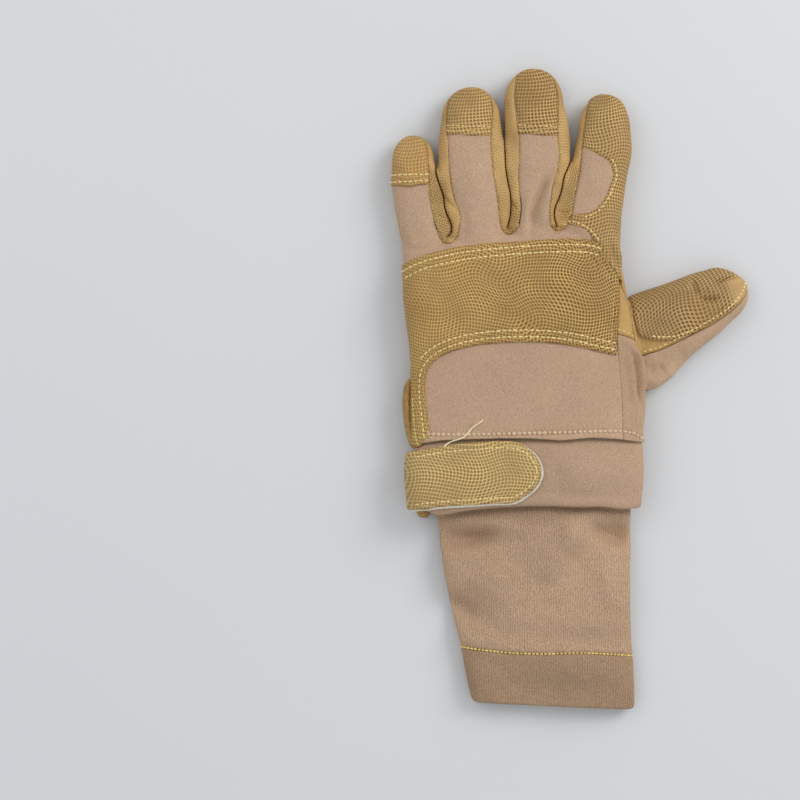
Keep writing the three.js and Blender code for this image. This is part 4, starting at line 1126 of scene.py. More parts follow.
# Thumb
# The thumb has a lower half of knit and an upper half of smooth leather, sewn edge to edge from the
# palm to the tip. It is empty and slack, so that small folds gather near its tip.
THUMB_LINE = seen([
    (600, 362), (641, 356.5), (650, 353.5), (660, 350.5), (670, 346), (680, 341), (690, 336),
    (700, 331), (710, 326), (718, 321), (725, 316.5), (732, 311), (739, 304), (745, 296.5),
    (749.5, 287), (752, 278), (760, 262),
])
thumb_lower = np.vstack([bent(THUMB_LINE), [[FAR, 0], [FAR, -60], [0, -60]]])
thumb_lower_field = outside(skin, thumb_lower)

THUMB_FOLDS = [
    ([(712, 286), (719, 281), (728, 278), (738, 276)], 0.8, -1.7),
    ([(691, 279), (694, 289), (698, 297)], 1.3, -1.5),
    ([(696, 298), (704, 300), (712, 300), (720, 297)], 1.1, -2.0),
    ([(716, 317), (720, 311), (723, 306)], 0.8, -1.2),
    ([(704, 291), (711, 291), (717, 289)], 2.0, 1.3),
    ([(723, 290), (730, 288), (738, 285)], 2.2, 0.6),
    ([(655, 365), (670, 362), (690, 352)], 4.0, -1.1),
    ([(646, 372), (656, 372), (666, 366)], 3.2, -1.8),
    ([(648, 386), (662, 380), (680, 370)], 3.0, 0.8),
]

THUMB_WAVES = (13, 22, 0.3)


def thumb_shape(points, away):
    return folds(points, THUMB_FOLDS) + waves(points, *THUMB_WAVES) * (points[:, 2] > 3)


def beside(line, distance):
    """A line moved sideways, to its left if the distance is positive."""
    way = np.gradient(line, axis=0)
    way /= np.linalg.norm(way, axis=1)[:, None]
    return line + distance * np.column_stack([-way[:, 1], way[:, 0]])


def thumb_flat(points):
    base = np.array(THUMB["base"]) * (PALM["width"], PALM["length"]) + SHIFT[:2]
    c, s = math.cos(THUMB["turn"]), math.sin(THUMB["turn"])
    x, y = (points[:, :2] - base).T
    along, across = x * c + y * s, y * c - x * s
    rounded = unrolled(across, points[:, 2], THUMB["width"] * 0.45, THUMB["thickness"])
    return np.column_stack([along, rounded, points[:, 2] * 0])


lower = np.maximum.reduce([thumb_field + SEAM, thumb_lower_field + SEAM])
upper = np.maximum.reduce([thumb_field + SEAM, -thumb_lower_field + SEAM])
thumb_knit = knit_finish("thumb_knit", (209, 178, 148), (162, 131, 103))
THUMB_LOWER_ROW = beside(bent(THUMB_LINE[1:6]), 1.7)[2:]
thumb_fabric = panel("thumb_fabric", lower, thumb_knit, drop=0.6, shape=thumb_shape,
                     flat=thumb_flat)
thumb_leather = panel("thumb_leather", upper, smooth_leather, drop=0.8, shape=thumb_shape,
                      flat=thumb_flat)

# Knuckle guard
# A second layer of leather over the knuckles and down the outer side, pressed with waving rows of small
# square dots. It is cut in an L, turned under and sewn down with two rows of cream thread along its
# upper and lower edges.
GUARD_LIFT = 1.35
guard_leather = pressed_finish("pressed_leather", (199, 161, 95), (116, 83, 34))


def rows_sunk(points, rows, width=0.8, depth=0.45):
    """The leather is drawn down along its stitch rows."""
    change = np.zeros(len(points))
    for row in rows:
        away, _ = line_distance(points, row)
        change -= depth * np.exp(-((away / width) ** 2))
    return change


KNUCKLE_ROWS = [
    beside(KNUCKLE_TOP, -2.6)[2:-2], beside(KNUCKLE_TOP, -6.0)[3:-2],
    beside(KNUCKLE_BOTTOM, -2.5)[1:-1], beside(KNUCKLE_BOTTOM, -5.6)[1:38],
    beside(KNUCKLE_SIDE, -2.4)[12:-2],
]

KNUCKLE_FOLDS = [
    ([(590, 247), (598, 258), (605, 271), (610, 284)], 1.1, -0.6),
    ([(580, 246), (590, 259), (599, 274)], 1.4, -0.45),
    ([(609, 270), (613, 285), (613, 305)], 2.2, 0.5),
    ([(612, 300), (611, 320), (610, 340)], 2.5, -0.5),
    ([(545, 262), (548, 290), (546, 320)], 7.0, -0.4),
    ([(420, 268), (425, 290), (424, 320)], 8.0, 0.4),
]


def knuckle_shape(points, away):
    change = rows_sunk(points, KNUCKLE_ROWS) + folds(points, KNUCKLE_FOLDS)
    return change + waves(points, *BACK_WAVES) + waves(points, 21, 15, 0.12)


# The dots deepen and darken towards the index finger; the darkening is painted shade, where the guard
# rounds away on that side.
PRESS_AND_SHADE_LEAST, PRESS_AND_SHADE_MORE = 0.78, 0.47
LITTLE_SIDE, INDEX_END = -65, 15  # where the pressing and the painted shade start and stop to deepen, across the glove


def guard_press_and_painted_shade(points):
    """The dots are pressed deeper towards the index finger, and painted darker there as painted shade,
    where the guard rounds away.
    """
    share = np.clip((points[:, 0] - LITTLE_SIDE) / (INDEX_END - LITTLE_SIDE), 0, 1)
    return PRESS_AND_SHADE_LEAST + PRESS_AND_SHADE_MORE * share


guard_top = BACK_SEAM_HEIGHT - 0.6 - z
knuckle_field = np.maximum.reduce([outside(skin, knuckle_outline), guard_top, -thumb_field + SEAM])
knuckle_guard = panel("knuckle_guard", knuckle_field, guard_leather, lift=GUARD_LIFT,
                      drop=0.8, shape=knuckle_shape, depth=1.3, press_and_painted_shade=guard_press_and_painted_shade)

# Fingertip caps
# A cap of the same dotted leather covers the tip of the little, ring and middle finger. It is sewn
# across with two rows and lies flush with the strips at its sides.
CAPS = {
    "little_cap": {
        "rows": [[(391, 175.5), (410, 175.5), (427, 175)], [(391, 182.5), (410, 182.5), (427, 181)]],
        "finger": "little", "strength": 0.55, "line": (199, 158, 98), "cut": (0.024, 0.029),
    },
    "ring_cap": {
        "rows": [[(448, 126.5), (468, 127.5), (489.5, 128)], [(448, 131.5), (468, 132.5), (489.5, 132.5)]],
        "finger": "ring", "strength": 0.9, "line": (200, 164, 104), "cut": (0.028, 0.029),
    },
    "middle_cap": {
        "rows": [[(519, 126.5), (538, 127.5), (556, 128)], [(519.5, 131.5), (538, 132.5), (556, 132.5)]],
        "finger": "middle", "strength": 1.1, "line": (194, 157, 98), "cut": (0.028, 0.036),
    },
}

CAP_LIFT, SEWN_CAP_LIFT = 0.35, 1.0


def finger_flat(finger):
    def flat(points):
        rows = finger_rows(finger)
        along = points[:, 1] - SHIFT[1]
        straight = rows[: -TIP_STEPS + 1]
        middle, half, top = [np.interp(along, straight[:, 0], straight[:, k]) for k in (1, 2, 4)]
        across = unrolled(points[:, 0] - SHIFT[0] - middle, points[:, 2], half, top)
        return np.column_stack([across, points[:, 1], points[:, 2] * 0])

    return flat


for name, cap in CAPS.items():
    finish = pressed_finish(f"{name}_leather", cap["line"], (112, 79, 34), 1.7, (1.2, 1.0),
                            strength=cap["strength"])
    cap["paths"] = [bent(seen(row)) for row in cap["rows"]]

    def cap_shape(points, away, rows=cap["paths"]):
        return rows_sunk(points, rows, 0.7, 0.25) + waves(points, 4, 14, 0.12)

    def cap_lift(points, base=seen(cap["rows"][-1])[:, 1].mean() - 2.5):
        """Thick at its sewn edge, and flush with the strips at its sides."""
        return CAP_LIFT + (SEWN_CAP_LIFT - CAP_LIFT) * np.clip(1 - (points[:, 1] - base) / 7, 0, 1)

    field = np.maximum.reduce([outside(skin, seen(CAP_OUTLINES[name])) + SEAM, guard_top])
    piece = panel(name, field, finish, lift=cap_lift, drop=0.7, shape=cap_shape,
                  depth=1.0, flat=finger_flat(FINGERS[cap["finger"]]))
    cap["piece"] = piece

# Index guard
# One piece of the dotted leather caps the index finger, runs down its thumb side and turns in below an
# oval window that leaves the knit bare.
INDEX_LIFT, INDEX_LAP = 0.7, 1.2
INDEX_RISE = 76.0  # below this place along the glove the guard climbs over the knuckle guard
INDEX_ROWS = [beside(INDEX_WINDOW, 1.9)[14:-4], beside(INDEX_LOWER, 1.7)[:-3]]

INDEX_FOLDS = [
    ([(606, 240), (610, 251), (615, 264), (620, 276)], 1.0, -1.2),
    ([(611, 236), (615, 250), (619, 262)], 1.1, 0.7),
    ([(597, 236), (603, 247), (609, 260)], 1.3, 0.5),
]


def index_shape(points, away):
    return rows_sunk(points, INDEX_ROWS, 0.7, 0.3) + waves(points, 9, 16, 0.15) + folds(points, INDEX_FOLDS)


def index_lift(points):
    """Flush along the finger, and over the knuckle guard at its lower end."""
    rise = np.clip((INDEX_RISE - points[:, 1]) / 8, 0, 1)
    return INDEX_LIFT + INDEX_LAP * rise * rise * (3 - 2 * rise) * np.clip((points[:, 2] - 12) / 4, 0, 1)


index_field = np.maximum.reduce([
    outside(skin, index_outline) + SEAM, BACK_SEAM_HEIGHT - 1.5 - z, -thumb_field + SEAM,
    -strip_fields["strip_middle_index"] + SEAM,
])
index_leather = pressed_finish("index_pressed_leather", (195, 159, 100), (106, 74, 32), 1.65, (1.6, 1.6),
                               (34.0, 30.0), strength=0.9)
index_guard = panel("index_guard", index_field, index_leather, lift=index_lift,
                    drop=0.7, shape=index_shape, depth=1.1, flat=finger_flat(FINGERS["index"]))

# Thumb guard
# Dotted leather laps over the front of the thumb down to a folded edge, sewn with one row of cream
# thread. Its dots fade out towards the smooth tip.
THUMB_FOLD = bent(seen([
    (630, 326), (634, 331), (638.5, 335.5), (647, 338.5), (658, 340.5), (668, 340.3), (680, 338.7),
    (690, 334.5), (700, 329.5), (710, 323.8), (719, 318), (727, 312.7), (734, 306.5), (740.5, 299.5),
    (745.5, 292), (748.5, 284.5), (752, 276), (757, 266),
]))
thumb_guard_outline = np.vstack([THUMB_FOLD, seen([(760, 240), (612, 240), (618, 285)])])
PRESSING_END = bent(seen([
    (742, 268), (736, 276), (728, 281), (727, 290), (731, 298), (734, 306), (736, 318),
]))

THUMB_ROW = beside(THUMB_FOLD, 1.6)[14:-8]


def thumb_guard_shape(points, away):
    sunk = rows_sunk(points, [THUMB_ROW], 0.7, 0.3)
    return folds(points, THUMB_FOLDS) + waves(points, *THUMB_WAVES) + sunk


def thumb_pressing(points):
    """The dots fade out towards the smooth tip."""
    away, _ = line_distance(points, PRESSING_END)
    beyond = outside(points, np.vstack([PRESSING_END, seen([(790, 318), (790, 260)])])) < 0
    return np.clip(0.6 - np.where(beyond, 1, -1) * away / 5, 0.1, 1)


thumb_guard_field = np.maximum.reduce([
    outside(skin, thumb_guard_outline), 4.0 - z, thumb_field + 0.9, -thumb_lower_field + SEAM,
])
thumb_dots = pressed_finish("thumb_pressed_leather", (187, 152, 99), (110, 79, 40), 1.8, (2.2, 2.4),
                            (42.0, 46.0), strength=1.0)

THUMB_LIFT = {"least": 0.12, "flush": 0.28, "fold": 0.75, "palm": 0.6}


def thumb_lift(points):
    """Thick at its fold, and flush over the thumb's far side."""
    away, _ = line_distance(points, THUMB_FOLD)
    near_tip = np.clip((seen([(746, 0)])[0, 0] - points[:, 0]) / 12, 0.1, 1)
    at_palm = THUMB_LIFT["palm"] * np.clip((seen([(672, 0)])[0, 0] - points[:, 0]) / 8, 0, 1)
    fold = (THUMB_LIFT["fold"] + at_palm) * np.clip(1 - away / 7, 0, 1)
    return THUMB_LIFT["least"] + (THUMB_LIFT["flush"] + fold) * near_tip


thumb_guard = panel("thumb_guard", thumb_guard_field, thumb_dots, lift=thumb_lift,
                    drop=0.7, shape=thumb_guard_shape, depth=1.0, flat=thumb_flat, press_and_painted_shade=thumb_pressing)

# Side roll
# The palm's leather is turned over the outer side of the heel of the hand in a soft roll, and held by
# the stitches beside it.
ROLL_SIDES, ROLL_RINGS = 28, 90
ROLL_ROWS = np.array([  # pixels down the photograph, left and right pixels, lowest and highest millimetres
    (377.5, 411.4, 412.2, 8.5, 9.8), (379, 408.5, 412.2, 7, 11.2), (382, 406.2, 412.4, 5.8, 12.6),
    (388, 403.8, 412.3, 5, 13.4), (397, 402.6, 411.6, 4.6, 13.6), (410, 402.6, 412.2, 4.6, 13.6),
    (423, 404, 413.6, 4.8, 13.4), (435, 406.3, 415.5, 5.4, 13.0), (443, 408.6, 416.6, 6.4, 12.4),
    (447, 411, 416.6, 8, 11.5), (448.5, 413, 415.5, 9, 10.4),
])


def between_edges(table, count):
    """A table of pixel edges and heights, read at even steps: the middle line, half widths and heights."""
    at = np.linspace(0, len(table) - 1, count)
    down, left, right, low, high = [smoothly(np.arange(len(table)), table[:, k], at) for k in range(5)]
    edge_left, edge_right = [seen(np.column_stack([edge, down])) for edge in (left, right)]
    return (edge_left + edge_right) / 2, (edge_right - edge_left)[:, 0] / 2, low, high


middle, half_width, low, high = between_edges(ROLL_ROWS, ROLL_RINGS)
turn = 2 * np.pi * np.arange(ROLL_SIDES) / ROLL_SIDES
crease = 1 - 0.1 * np.exp(-(((turn - 1.0) / 0.35) ** 2))
roll = np.stack([
    middle[:, 0, None] + half_width[:, None] * np.cos(turn) * crease,
    np.broadcast_to(middle[:, 1, None], (ROLL_RINGS, ROLL_SIDES)),
    (low + high)[:, None] / 2 + (high - low)[:, None] / 2 * np.sin(turn) * crease,
], axis=-1)
rolled_leather = leather_finish("rolled_leather", (206, 166, 104), (158, 120, 64), 1.1, 0.8, 1.4)
side_roll = sewn_in(closed_sleeve("soft_side_roll", roll), "side_roll", rolled_leather)

# Wrist band
# Two layers of knit, folded at the lower edge, so that the band ends in a thick soft fold over the
# gauntlet.
BAND = {"length": 32.4, "width": 110.0, "thickness": 16.5, "wall": 2.2, "lift": 3.9}
BAND_ROWS = np.array([(0, -0.497, 0.497, 0, 1), (0.5, -0.51, 0.502, 0, 1.02), (1, -0.503, 0.49, 0, 0.98)])
CUFF_SQUARENESS = 3.0
CUFF_SIDES = 240
TUCKED_IN = 0.9  # the band narrows where it goes up under the hand's edge
CUFF_FINENESS = 0.9
LIP_STEPS = 8

BAND_EDGE = bent(seen([
    (390, 508), (411, 508), (424, 508.5), (430, 512), (437, 514.5), (447, 513.5), (465, 510),
    (495, 507), (515, 506), (555, 505.5), (575, 506.5), (605, 506.5), (615, 508), (633, 508),
    (641, 507), (660, 503),
]))


def band_row(at):
    return [smoothly(BAND_ROWS[:, 0], BAND_ROWS[:, k], np.clip(at, 0, 1)) for k in range(1, 5)]


def band_rings(along, grow):
    """Rings of the band's form, each at a place down it in millimetres and grown by a distance."""
    left, right, low, high = band_row(along / BAND["length"])
    grow = grow - TUCKED_IN * np.clip((3.2 - along) / 3.4, 0, 1)
    rings = sections(
        -along, (left + right) / 2 * BAND["width"], (right - left) / 2 * BAND["width"] + grow,
        BAND["lift"] + low * BAND["thickness"] - grow, BAND["lift"] + high * BAND["thickness"] + grow,
        CUFF_SQUARENESS, sides=CUFF_SIDES,
    ) + SHIFT
    # The lower edge waves.
    bend = np.interp(rings[..., 0], BAND_EDGE[:, 0], BAND_EDGE[:, 1]) - SHIFT[1] + BAND["length"]
    rings[..., 1] += bend * np.exp(-(((along - BAND["length"]) / 9) ** 2))[:, None]
    return rings


def walled(rings_at, start, end, wall):
    """A sleeve with a wall and two rounded lips. A function gives its rings at a place and a growth."""
    count = int((end - start - wall) / CUFF_FINENESS)
    inner_start, inner_end = start + wall / 2, end - wall / 2
    outer = np.linspace(inner_start, inner_end, count)
    lip = np.linspace(0, np.pi, LIP_STEPS + 1)[1:-1]
    along = np.concatenate([
        outer, inner_end + wall / 2 * np.sin(lip), outer[::-1], inner_start - wall / 2 * np.sin(lip),
    ])
    grow = np.concatenate([
        np.zeros(count), wall / 2 * (np.cos(lip) - 1), np.full(count, -wall), -wall / 2 * (1 + np.cos(lip)),
    ])
    return rings_at(along, grow)


def cuff_piece(name, rings, material, shape):
    """A walled sleeve with its folds pressed into it, as a piece."""
    count, sides = rings.shape[:2]
    points = rings.reshape(-1, 3)
    points = points + np.column_stack([np.zeros((len(points), 2)), shape(points)])
    points[:, 2] = np.maximum(points[:, 2], 0.02)
    faces = skin_faces(count, sides, closed=True)
    a, b, c = (points[faces[:, k]] for k in range(3))
    if (a * np.cross(b, c)).sum() < 0:
        faces = faces[:, ::-1]
    return sewn_in(mesh_object(f"soft_{name}", points, faces), name, material)


BAND_FOLDS = [
    ([(545, 450), (590, 447), (635, 452)], 3.5, -0.9),
    ([(560, 480), (600, 474), (640, 478)], 7.0, 0.9),
    ([(552, 462), (556, 480), (550, 500)], 5.0, -0.8),
    ([(540, 499), (580, 497), (620, 499)], 3.0, -0.5),
]

FOLDED_EDGE = {"height": 0.7, "up": 2.6, "reach": 2.2}
UNDER_LAP = {"depth": 1.3, "reach": 1.5}  # the band sinks under the back's lower edge


def band_shape(points):
    top = np.clip((points[:, 2] - 12) / 5, 0, 1)
    edge = np.interp(points[:, 0], BAND_EDGE[:, 0], BAND_EDGE[:, 1])
    from_fold = points[:, 1] - edge - FOLDED_EDGE["up"]
    fold = FOLDED_EDGE["height"] * np.exp(-((from_fold / FOLDED_EDGE["reach"]) ** 2))
    under_lap = points[:, 1] - np.interp(points[:, 0], LAP_LINE[:, 0], LAP_LINE[:, 1])
    fold -= UNDER_LAP["depth"] * np.exp(-((under_lap / UNDER_LAP["reach"]) ** 2))
    return top * (folds(points, BAND_FOLDS) + waves(points, 31, 34, 0.4) + fold)


band_knit = knit_finish("band_knit", (202, 171, 144), (152, 122, 98))
band_form = walled(band_rings, -4.0, BAND["length"], BAND["wall"])
wrist_band = cuff_piece("wrist_band", band_form, band_knit, band_shape)

# Gauntlet and its hem
# A long slack sleeve of a browner knit, gathered into the band, that drops to the table and lies there
# flat. Its end is turned up inside and sewn with one row of small yellow stitches.
GAUNTLET = {
    "length": 70.0, "width": 93.0, "thickness": 12.0, "wall": 1.3, "tuck": 30.0, "hem": 24.5,
    "hem_wall": 2.2,
}
# at: share of the length. left, right, held, high: as the solids' table, where held is 1 inside the band.
GAUNTLET_ROWS = np.array([
    (-0.43, -0.445, 0.47, 1, 0.93), (0, -0.445, 0.47, 1, 0.93), (0.08, -0.43, 0.485, 0.7, 0.97),
    (0.256, -0.441, 0.518, 0.2, 1), (0.43, -0.435, 0.527, 0, 0.97), (0.62, -0.405, 0.527, 0, 0.95),
    (0.825, -0.372, 0.532, 0, 0.9), (1, -0.346, 0.542, 0, 0.86), (1.19, -0.316, 0.55, 0, 0.84),
    (1.36, -0.284, 0.552, 0, 0.82),
])
MOUTH_SLANT = -0.045
MOUTH_CORNER = 2.6  # how round the corners of the flat mouth are
LAYER_GAP = 0.3
HEM_PITCH = 1.92  # millimetres from stitch to stitch
HEM_PUCKERS = (0.8, 0.5, 0.2)
GATHERED = {"depth": 3.0, "reach": 5}  # the sleeve sinks where the band gathers it
BAND_CREASE = {"depth": 1.6, "down": 0.3, "reach": 1.6}
SLACKNESS = 1.9  # how much stronger the folds are than their tables say

HEM_LINE = bent(seen([
    (440, 644.5), (461, 647), (470, 648.3), (490, 650.8), (510, 653), (545, 654), (585, 653),
    (605, 654), (632, 656), (650, 657.5),
]))
GAUNTLET_FOLDS = [
    ([(436, 541), (455, 543), (480, 539), (505, 531)], 3.2, -1.4),
    ([(585, 520), (600, 532), (616, 540), (632, 543)], 3.2, -1.4),
    ([(580, 524), (566, 545), (550, 570), (538, 590)], 5.0, 1.2),
    ([(444, 598), (462, 607), (480, 619)], 3.4, -1.0),
    ([(595, 560), (610, 585), (618, 620)], 6.0, 0.8),
]


def gauntlet_rings(along, grow):
    at = along / GAUNTLET["length"]
    left, right, held, high = [smoothly(GAUNTLET_ROWS[:, 0], GAUNTLET_ROWS[:, k], at) for k in range(1, 5)]
    held = np.clip(held, 0, 1)
    ledge = BAND["lift"] + BAND["wall"] + LAYER_GAP
    inset = 2 * (BAND["wall"] + LAYER_GAP)
    width = GAUNTLET["width"] + held * (BAND["width"] - inset - GAUNTLET["width"])
    thickness = GAUNTLET["thickness"] + held * (BAND["thickness"] - inset - GAUNTLET["thickness"])
    slant = MOUTH_SLANT * np.clip((at - 0.6) / 0.4, 0, 1)
    near_mouth = np.clip((along - GAUNTLET["length"] - GAUNTLET["hem"]) / MOUTH_CORNER + 1, 0, 1)
    cut = MOUTH_CORNER * (1 - np.sqrt(1 - near_mouth**2))
    rings = sections(
        -BAND["length"] - LAYER_GAP - along, (left + right) / 2 * width,
        (right - left) / 2 * width + grow - cut, held * ledge - grow,
        held * ledge + high * thickness + grow, CUFF_SQUARENESS, slant, CUFF_SIDES,
    ) + SHIFT
    # The rings follow the hem's stitched line where they come near it.
    level = SHIFT[1] - BAND["length"] - LAYER_GAP - GAUNTLET["length"]
    x = rings[..., 0]
    bend = np.interp(x, HEM_LINE[:, 0], HEM_LINE[:, 1]) - level - MOUTH_SLANT * (x - SHIFT[0])
    rings[..., 1] += bend * np.exp(-(((along - GAUNTLET["length"]) / 9) ** 2))[:, None]
    return rings


# Pixels of the middle, half widths across and along in millimetres, and the height.
GAUNTLET_DENTS = [
    (472, 536, 13, 4.5, -3.6), (445, 528, 7, 6, -1.5), (614, 531, 9, 6.5, -3.6), (573, 534, 7, 8, 1.6),
    (552, 560, 8, 8, 1.2), (535, 520, 14, 4, -1.5), (466, 608, 9, 8, -1.9), (450, 572, 8, 10, 1.0),
    (500, 575, 16, 9, 0.8), (575, 640, 24, 6, -1.1), (610, 600, 12, 16, 1.2), (520, 615, 14, 10, 0.7),
    (480, 640, 14, 5, 0.8), (545, 690, 22, 7, -1.2), (480, 680, 9, 9, 0.8), (600, 672, 14, 7, 0.7),
]


def gauntlet_shape(points):
    top = np.clip((points[:, 2] - 2.5) / 6, 0, 1)
    change = waves(points, 41, 34, 0.22, (1.0, 1.3)) + waves(points, 43, 11, 0.09)
    change = change + folds(points, GAUNTLET_FOLDS)
    for px, py, wide, long, height in GAUNTLET_DENTS:
        x, y = seen([(px, py)])[0]
        dent = np.exp(-(((points[:, 0] - x) / wide) ** 2) - ((points[:, 1] - y) / long) ** 2)
        change = change + height * dent
    _, _, puckers = puckered(points, HEM_LINE, HEM_PITCH, *HEM_PUCKERS)
    change = change + puckers
    below_band = np.interp(points[:, 0], BAND_EDGE[:, 0], BAND_EDGE[:, 1]) - points[:, 1]
    change = SLACKNESS * change - GATHERED["depth"] * np.exp(-((below_band / GATHERED["reach"]) ** 2))
    crease = np.exp(-(((below_band - BAND_CREASE["down"]) / BAND_CREASE["reach"]) ** 2))
    change = change - BAND_CREASE["depth"] * crease
    tucked = np.clip((-below_band - 3) / 6, 0, 1)
    return top * change * (1 - tucked)


gauntlet_knit = knit_finish("gauntlet_knit", (211, 179, 149), (140, 110, 85), 1.15)
sleeve = walled(gauntlet_rings, -GAUNTLET["tuck"], GAUNTLET["length"], GAUNTLET["wall"])
gauntlet = cuff_piece("gauntlet", sleeve, gauntlet_knit, gauntlet_shape)
hem_start = GAUNTLET["length"] + 0.05
sleeve = walled(gauntlet_rings, hem_start, GAUNTLET["length"] + GAUNTLET["hem"], GAUNTLET["hem_wall"])
# The hem's knit is the gauntlet's knit painted darker: painted shade, where the hem slopes down to the
# table.
hem_knit_painted_shade = knit_finish("hem_knit_painted_shade", (184, 154, 126), (128, 100, 75), 1.15)
gauntlet_hem = cuff_piece("gauntlet_hem", sleeve, hem_knit_painted_shade, gauntlet_shape)

# Wrist strap, its pad and its tab
# A strap of dotted leather, rounded at its end and stitched all round, goes over the outer side of the
# wrist. A pale hook pad under it shows as a thin rim, and its sewn end shows as a stub below.
STRAP_UPPER = seen([
    (380, 455.5), (409, 453), (425, 449.5), (445, 446.5), (475, 443.8), (505, 442.3), (519, 444),
    (530, 450.5), (537.5, 460), (540.5, 470), (538.5, 480), (532.5, 489), (524, 496), (516, 500.5),
    (495, 502.2), (455, 505), (425, 508), (409, 510), (380, 512),
])
strap_outline = bent(STRAP_UPPER)
STRAP_SIDE = SHIFT[0] - 0.51 * BAND["width"]
STRAP_BEND = {"starts": 8.0, "longer": 1.3, "side": 6}  # how the strap's length goes on round the side
STRAP_UNDER = 24.0  # how far its end goes back under the wrist
under_end = STRAP_SIDE + STRAP_UNDER
strap_rings = band_rings(np.linspace(-5, BAND["length"] + 8, 90), np.zeros(90))
strap_skin = strap_rings.reshape(-1, 3)
strap_skin[:, 2] += band_shape(strap_skin) * 0.5
strap_faces = skin_faces(*strap_rings.shape[:2])
strap_normals = normals_of(strap_skin, strap_faces)
if strap_normals[strap_skin[:, 2].argmax(), 2] < 0:
    strap_faces, strap_normals = strap_faces[:, ::-1], -strap_normals
waist = BAND["lift"] + BAND["thickness"] / 2


def strap_field(grow, aside=(0, 0, 0)):
    """Outside the strap: its outline on the upper side, its turned-under end on the lower."""
    over = outside(strap_skin - aside, strap_outline) - grow
    under = np.maximum(over, strap_skin[:, 0] - under_end)
    return np.where(strap_skin[:, 2] > waist, over, under)


def strap_flat(points):
    bend = STRAP_SIDE + STRAP_BEND["starts"]
    along = np.where(points[:, 0] > bend, points[:, 0], bend - (bend - points[:, 0]) * STRAP_BEND["longer"])
    along = np.where(points[:, 2] < waist, 2 * STRAP_SIDE - along - STRAP_BEND["side"], along)
    return np.column_stack([along, points[:, 1], points[:, 2] * 0])


strap_path = beside(bent(STRAP_UPPER[1:-1]), -2.5)[2:-2]


def pad_shape(points, away):
    return waves(points, 51, 30, 0.3)


def strap_shape(points, away):
    return rows_sunk(points, [strap_path], 0.8, 0.3) + pad_shape(points, away)


pad_finish, tree, shader = new_finish("hook_pad", 0.95)
place = placed(tree)
fuzz = remap(tree, noise(tree, place, 2.2, 4.0), 0.35, 0.65)
pad_color = blend_colors(tree, fuzz, linear((214, 203, 182)), linear((250, 243, 229)))
tree.links.new(pad_color, shader.inputs["Base Color"])
relief(tree, shader, fuzz, 0.7, 0.5)
shader.inputs["Sheen Weight"].default_value = 0.3

base = (strap_skin, strap_faces, strap_normals)
PAD_RIM, PAD_ASIDE = 0.45, (0.45, -0.4, 0)
strap_backing = panel("strap_backing", strap_field(PAD_RIM, PAD_ASIDE), pad_finish, lift=2.0,
                      drop=0.5, shape=pad_shape, flat=strap_flat, edge=0.8, depth=1.1, base=base)
strap_leather = pressed_finish("strap_pressed_leather", (214, 183, 121), (144, 110, 56), 1.62, (1.9, 1.6),
                               (26.0, 44.0), 1.0, 0.95, 0.14, 0.1)
wrist_strap = panel("wrist_strap", strap_field(0.0), strap_leather, lift=3.2, drop=1.0,
                    shape=strap_shape, flat=strap_flat, edge=1.5, depth=1.5, base=base)

TAB_ROWS = np.array([  # pixels down, left and right pixels, lowest and highest millimetres
    (508, 417, 430, 0.5, 3.0), (511, 416.5, 430.5, 0.4, 3.2), (514, 417, 430, 0.4, 3.2),
    (516.5, 418.5, 428.5, 0.5, 2.9), (518.2, 421, 426, 0.8, 2.3),
])
middle, half_width, low, high = between_edges(TAB_ROWS, 40)
TAB_SIDES, TAB_SQUARENESS = 32, 2.6
tab = sections(middle[:, 1], middle[:, 0], half_width, low, high, TAB_SQUARENESS, sides=TAB_SIDES)
strap_tab = sewn_in(closed_sleeve("soft_strap_tab", tab), "strap_tab", rolled_leather)

# Stitches
# Rows of thread through every turned edge: cream on the leather, pale tan on the wrist seam and yellow
# on the hem. Each stitch is a short bead of thread, laid along its row with a little unevenness.
UNSTRAIGHT = 0.12  # how much a stitch strays from its row's direction
UNEVEN_SIZE = (0.85, 1.12)


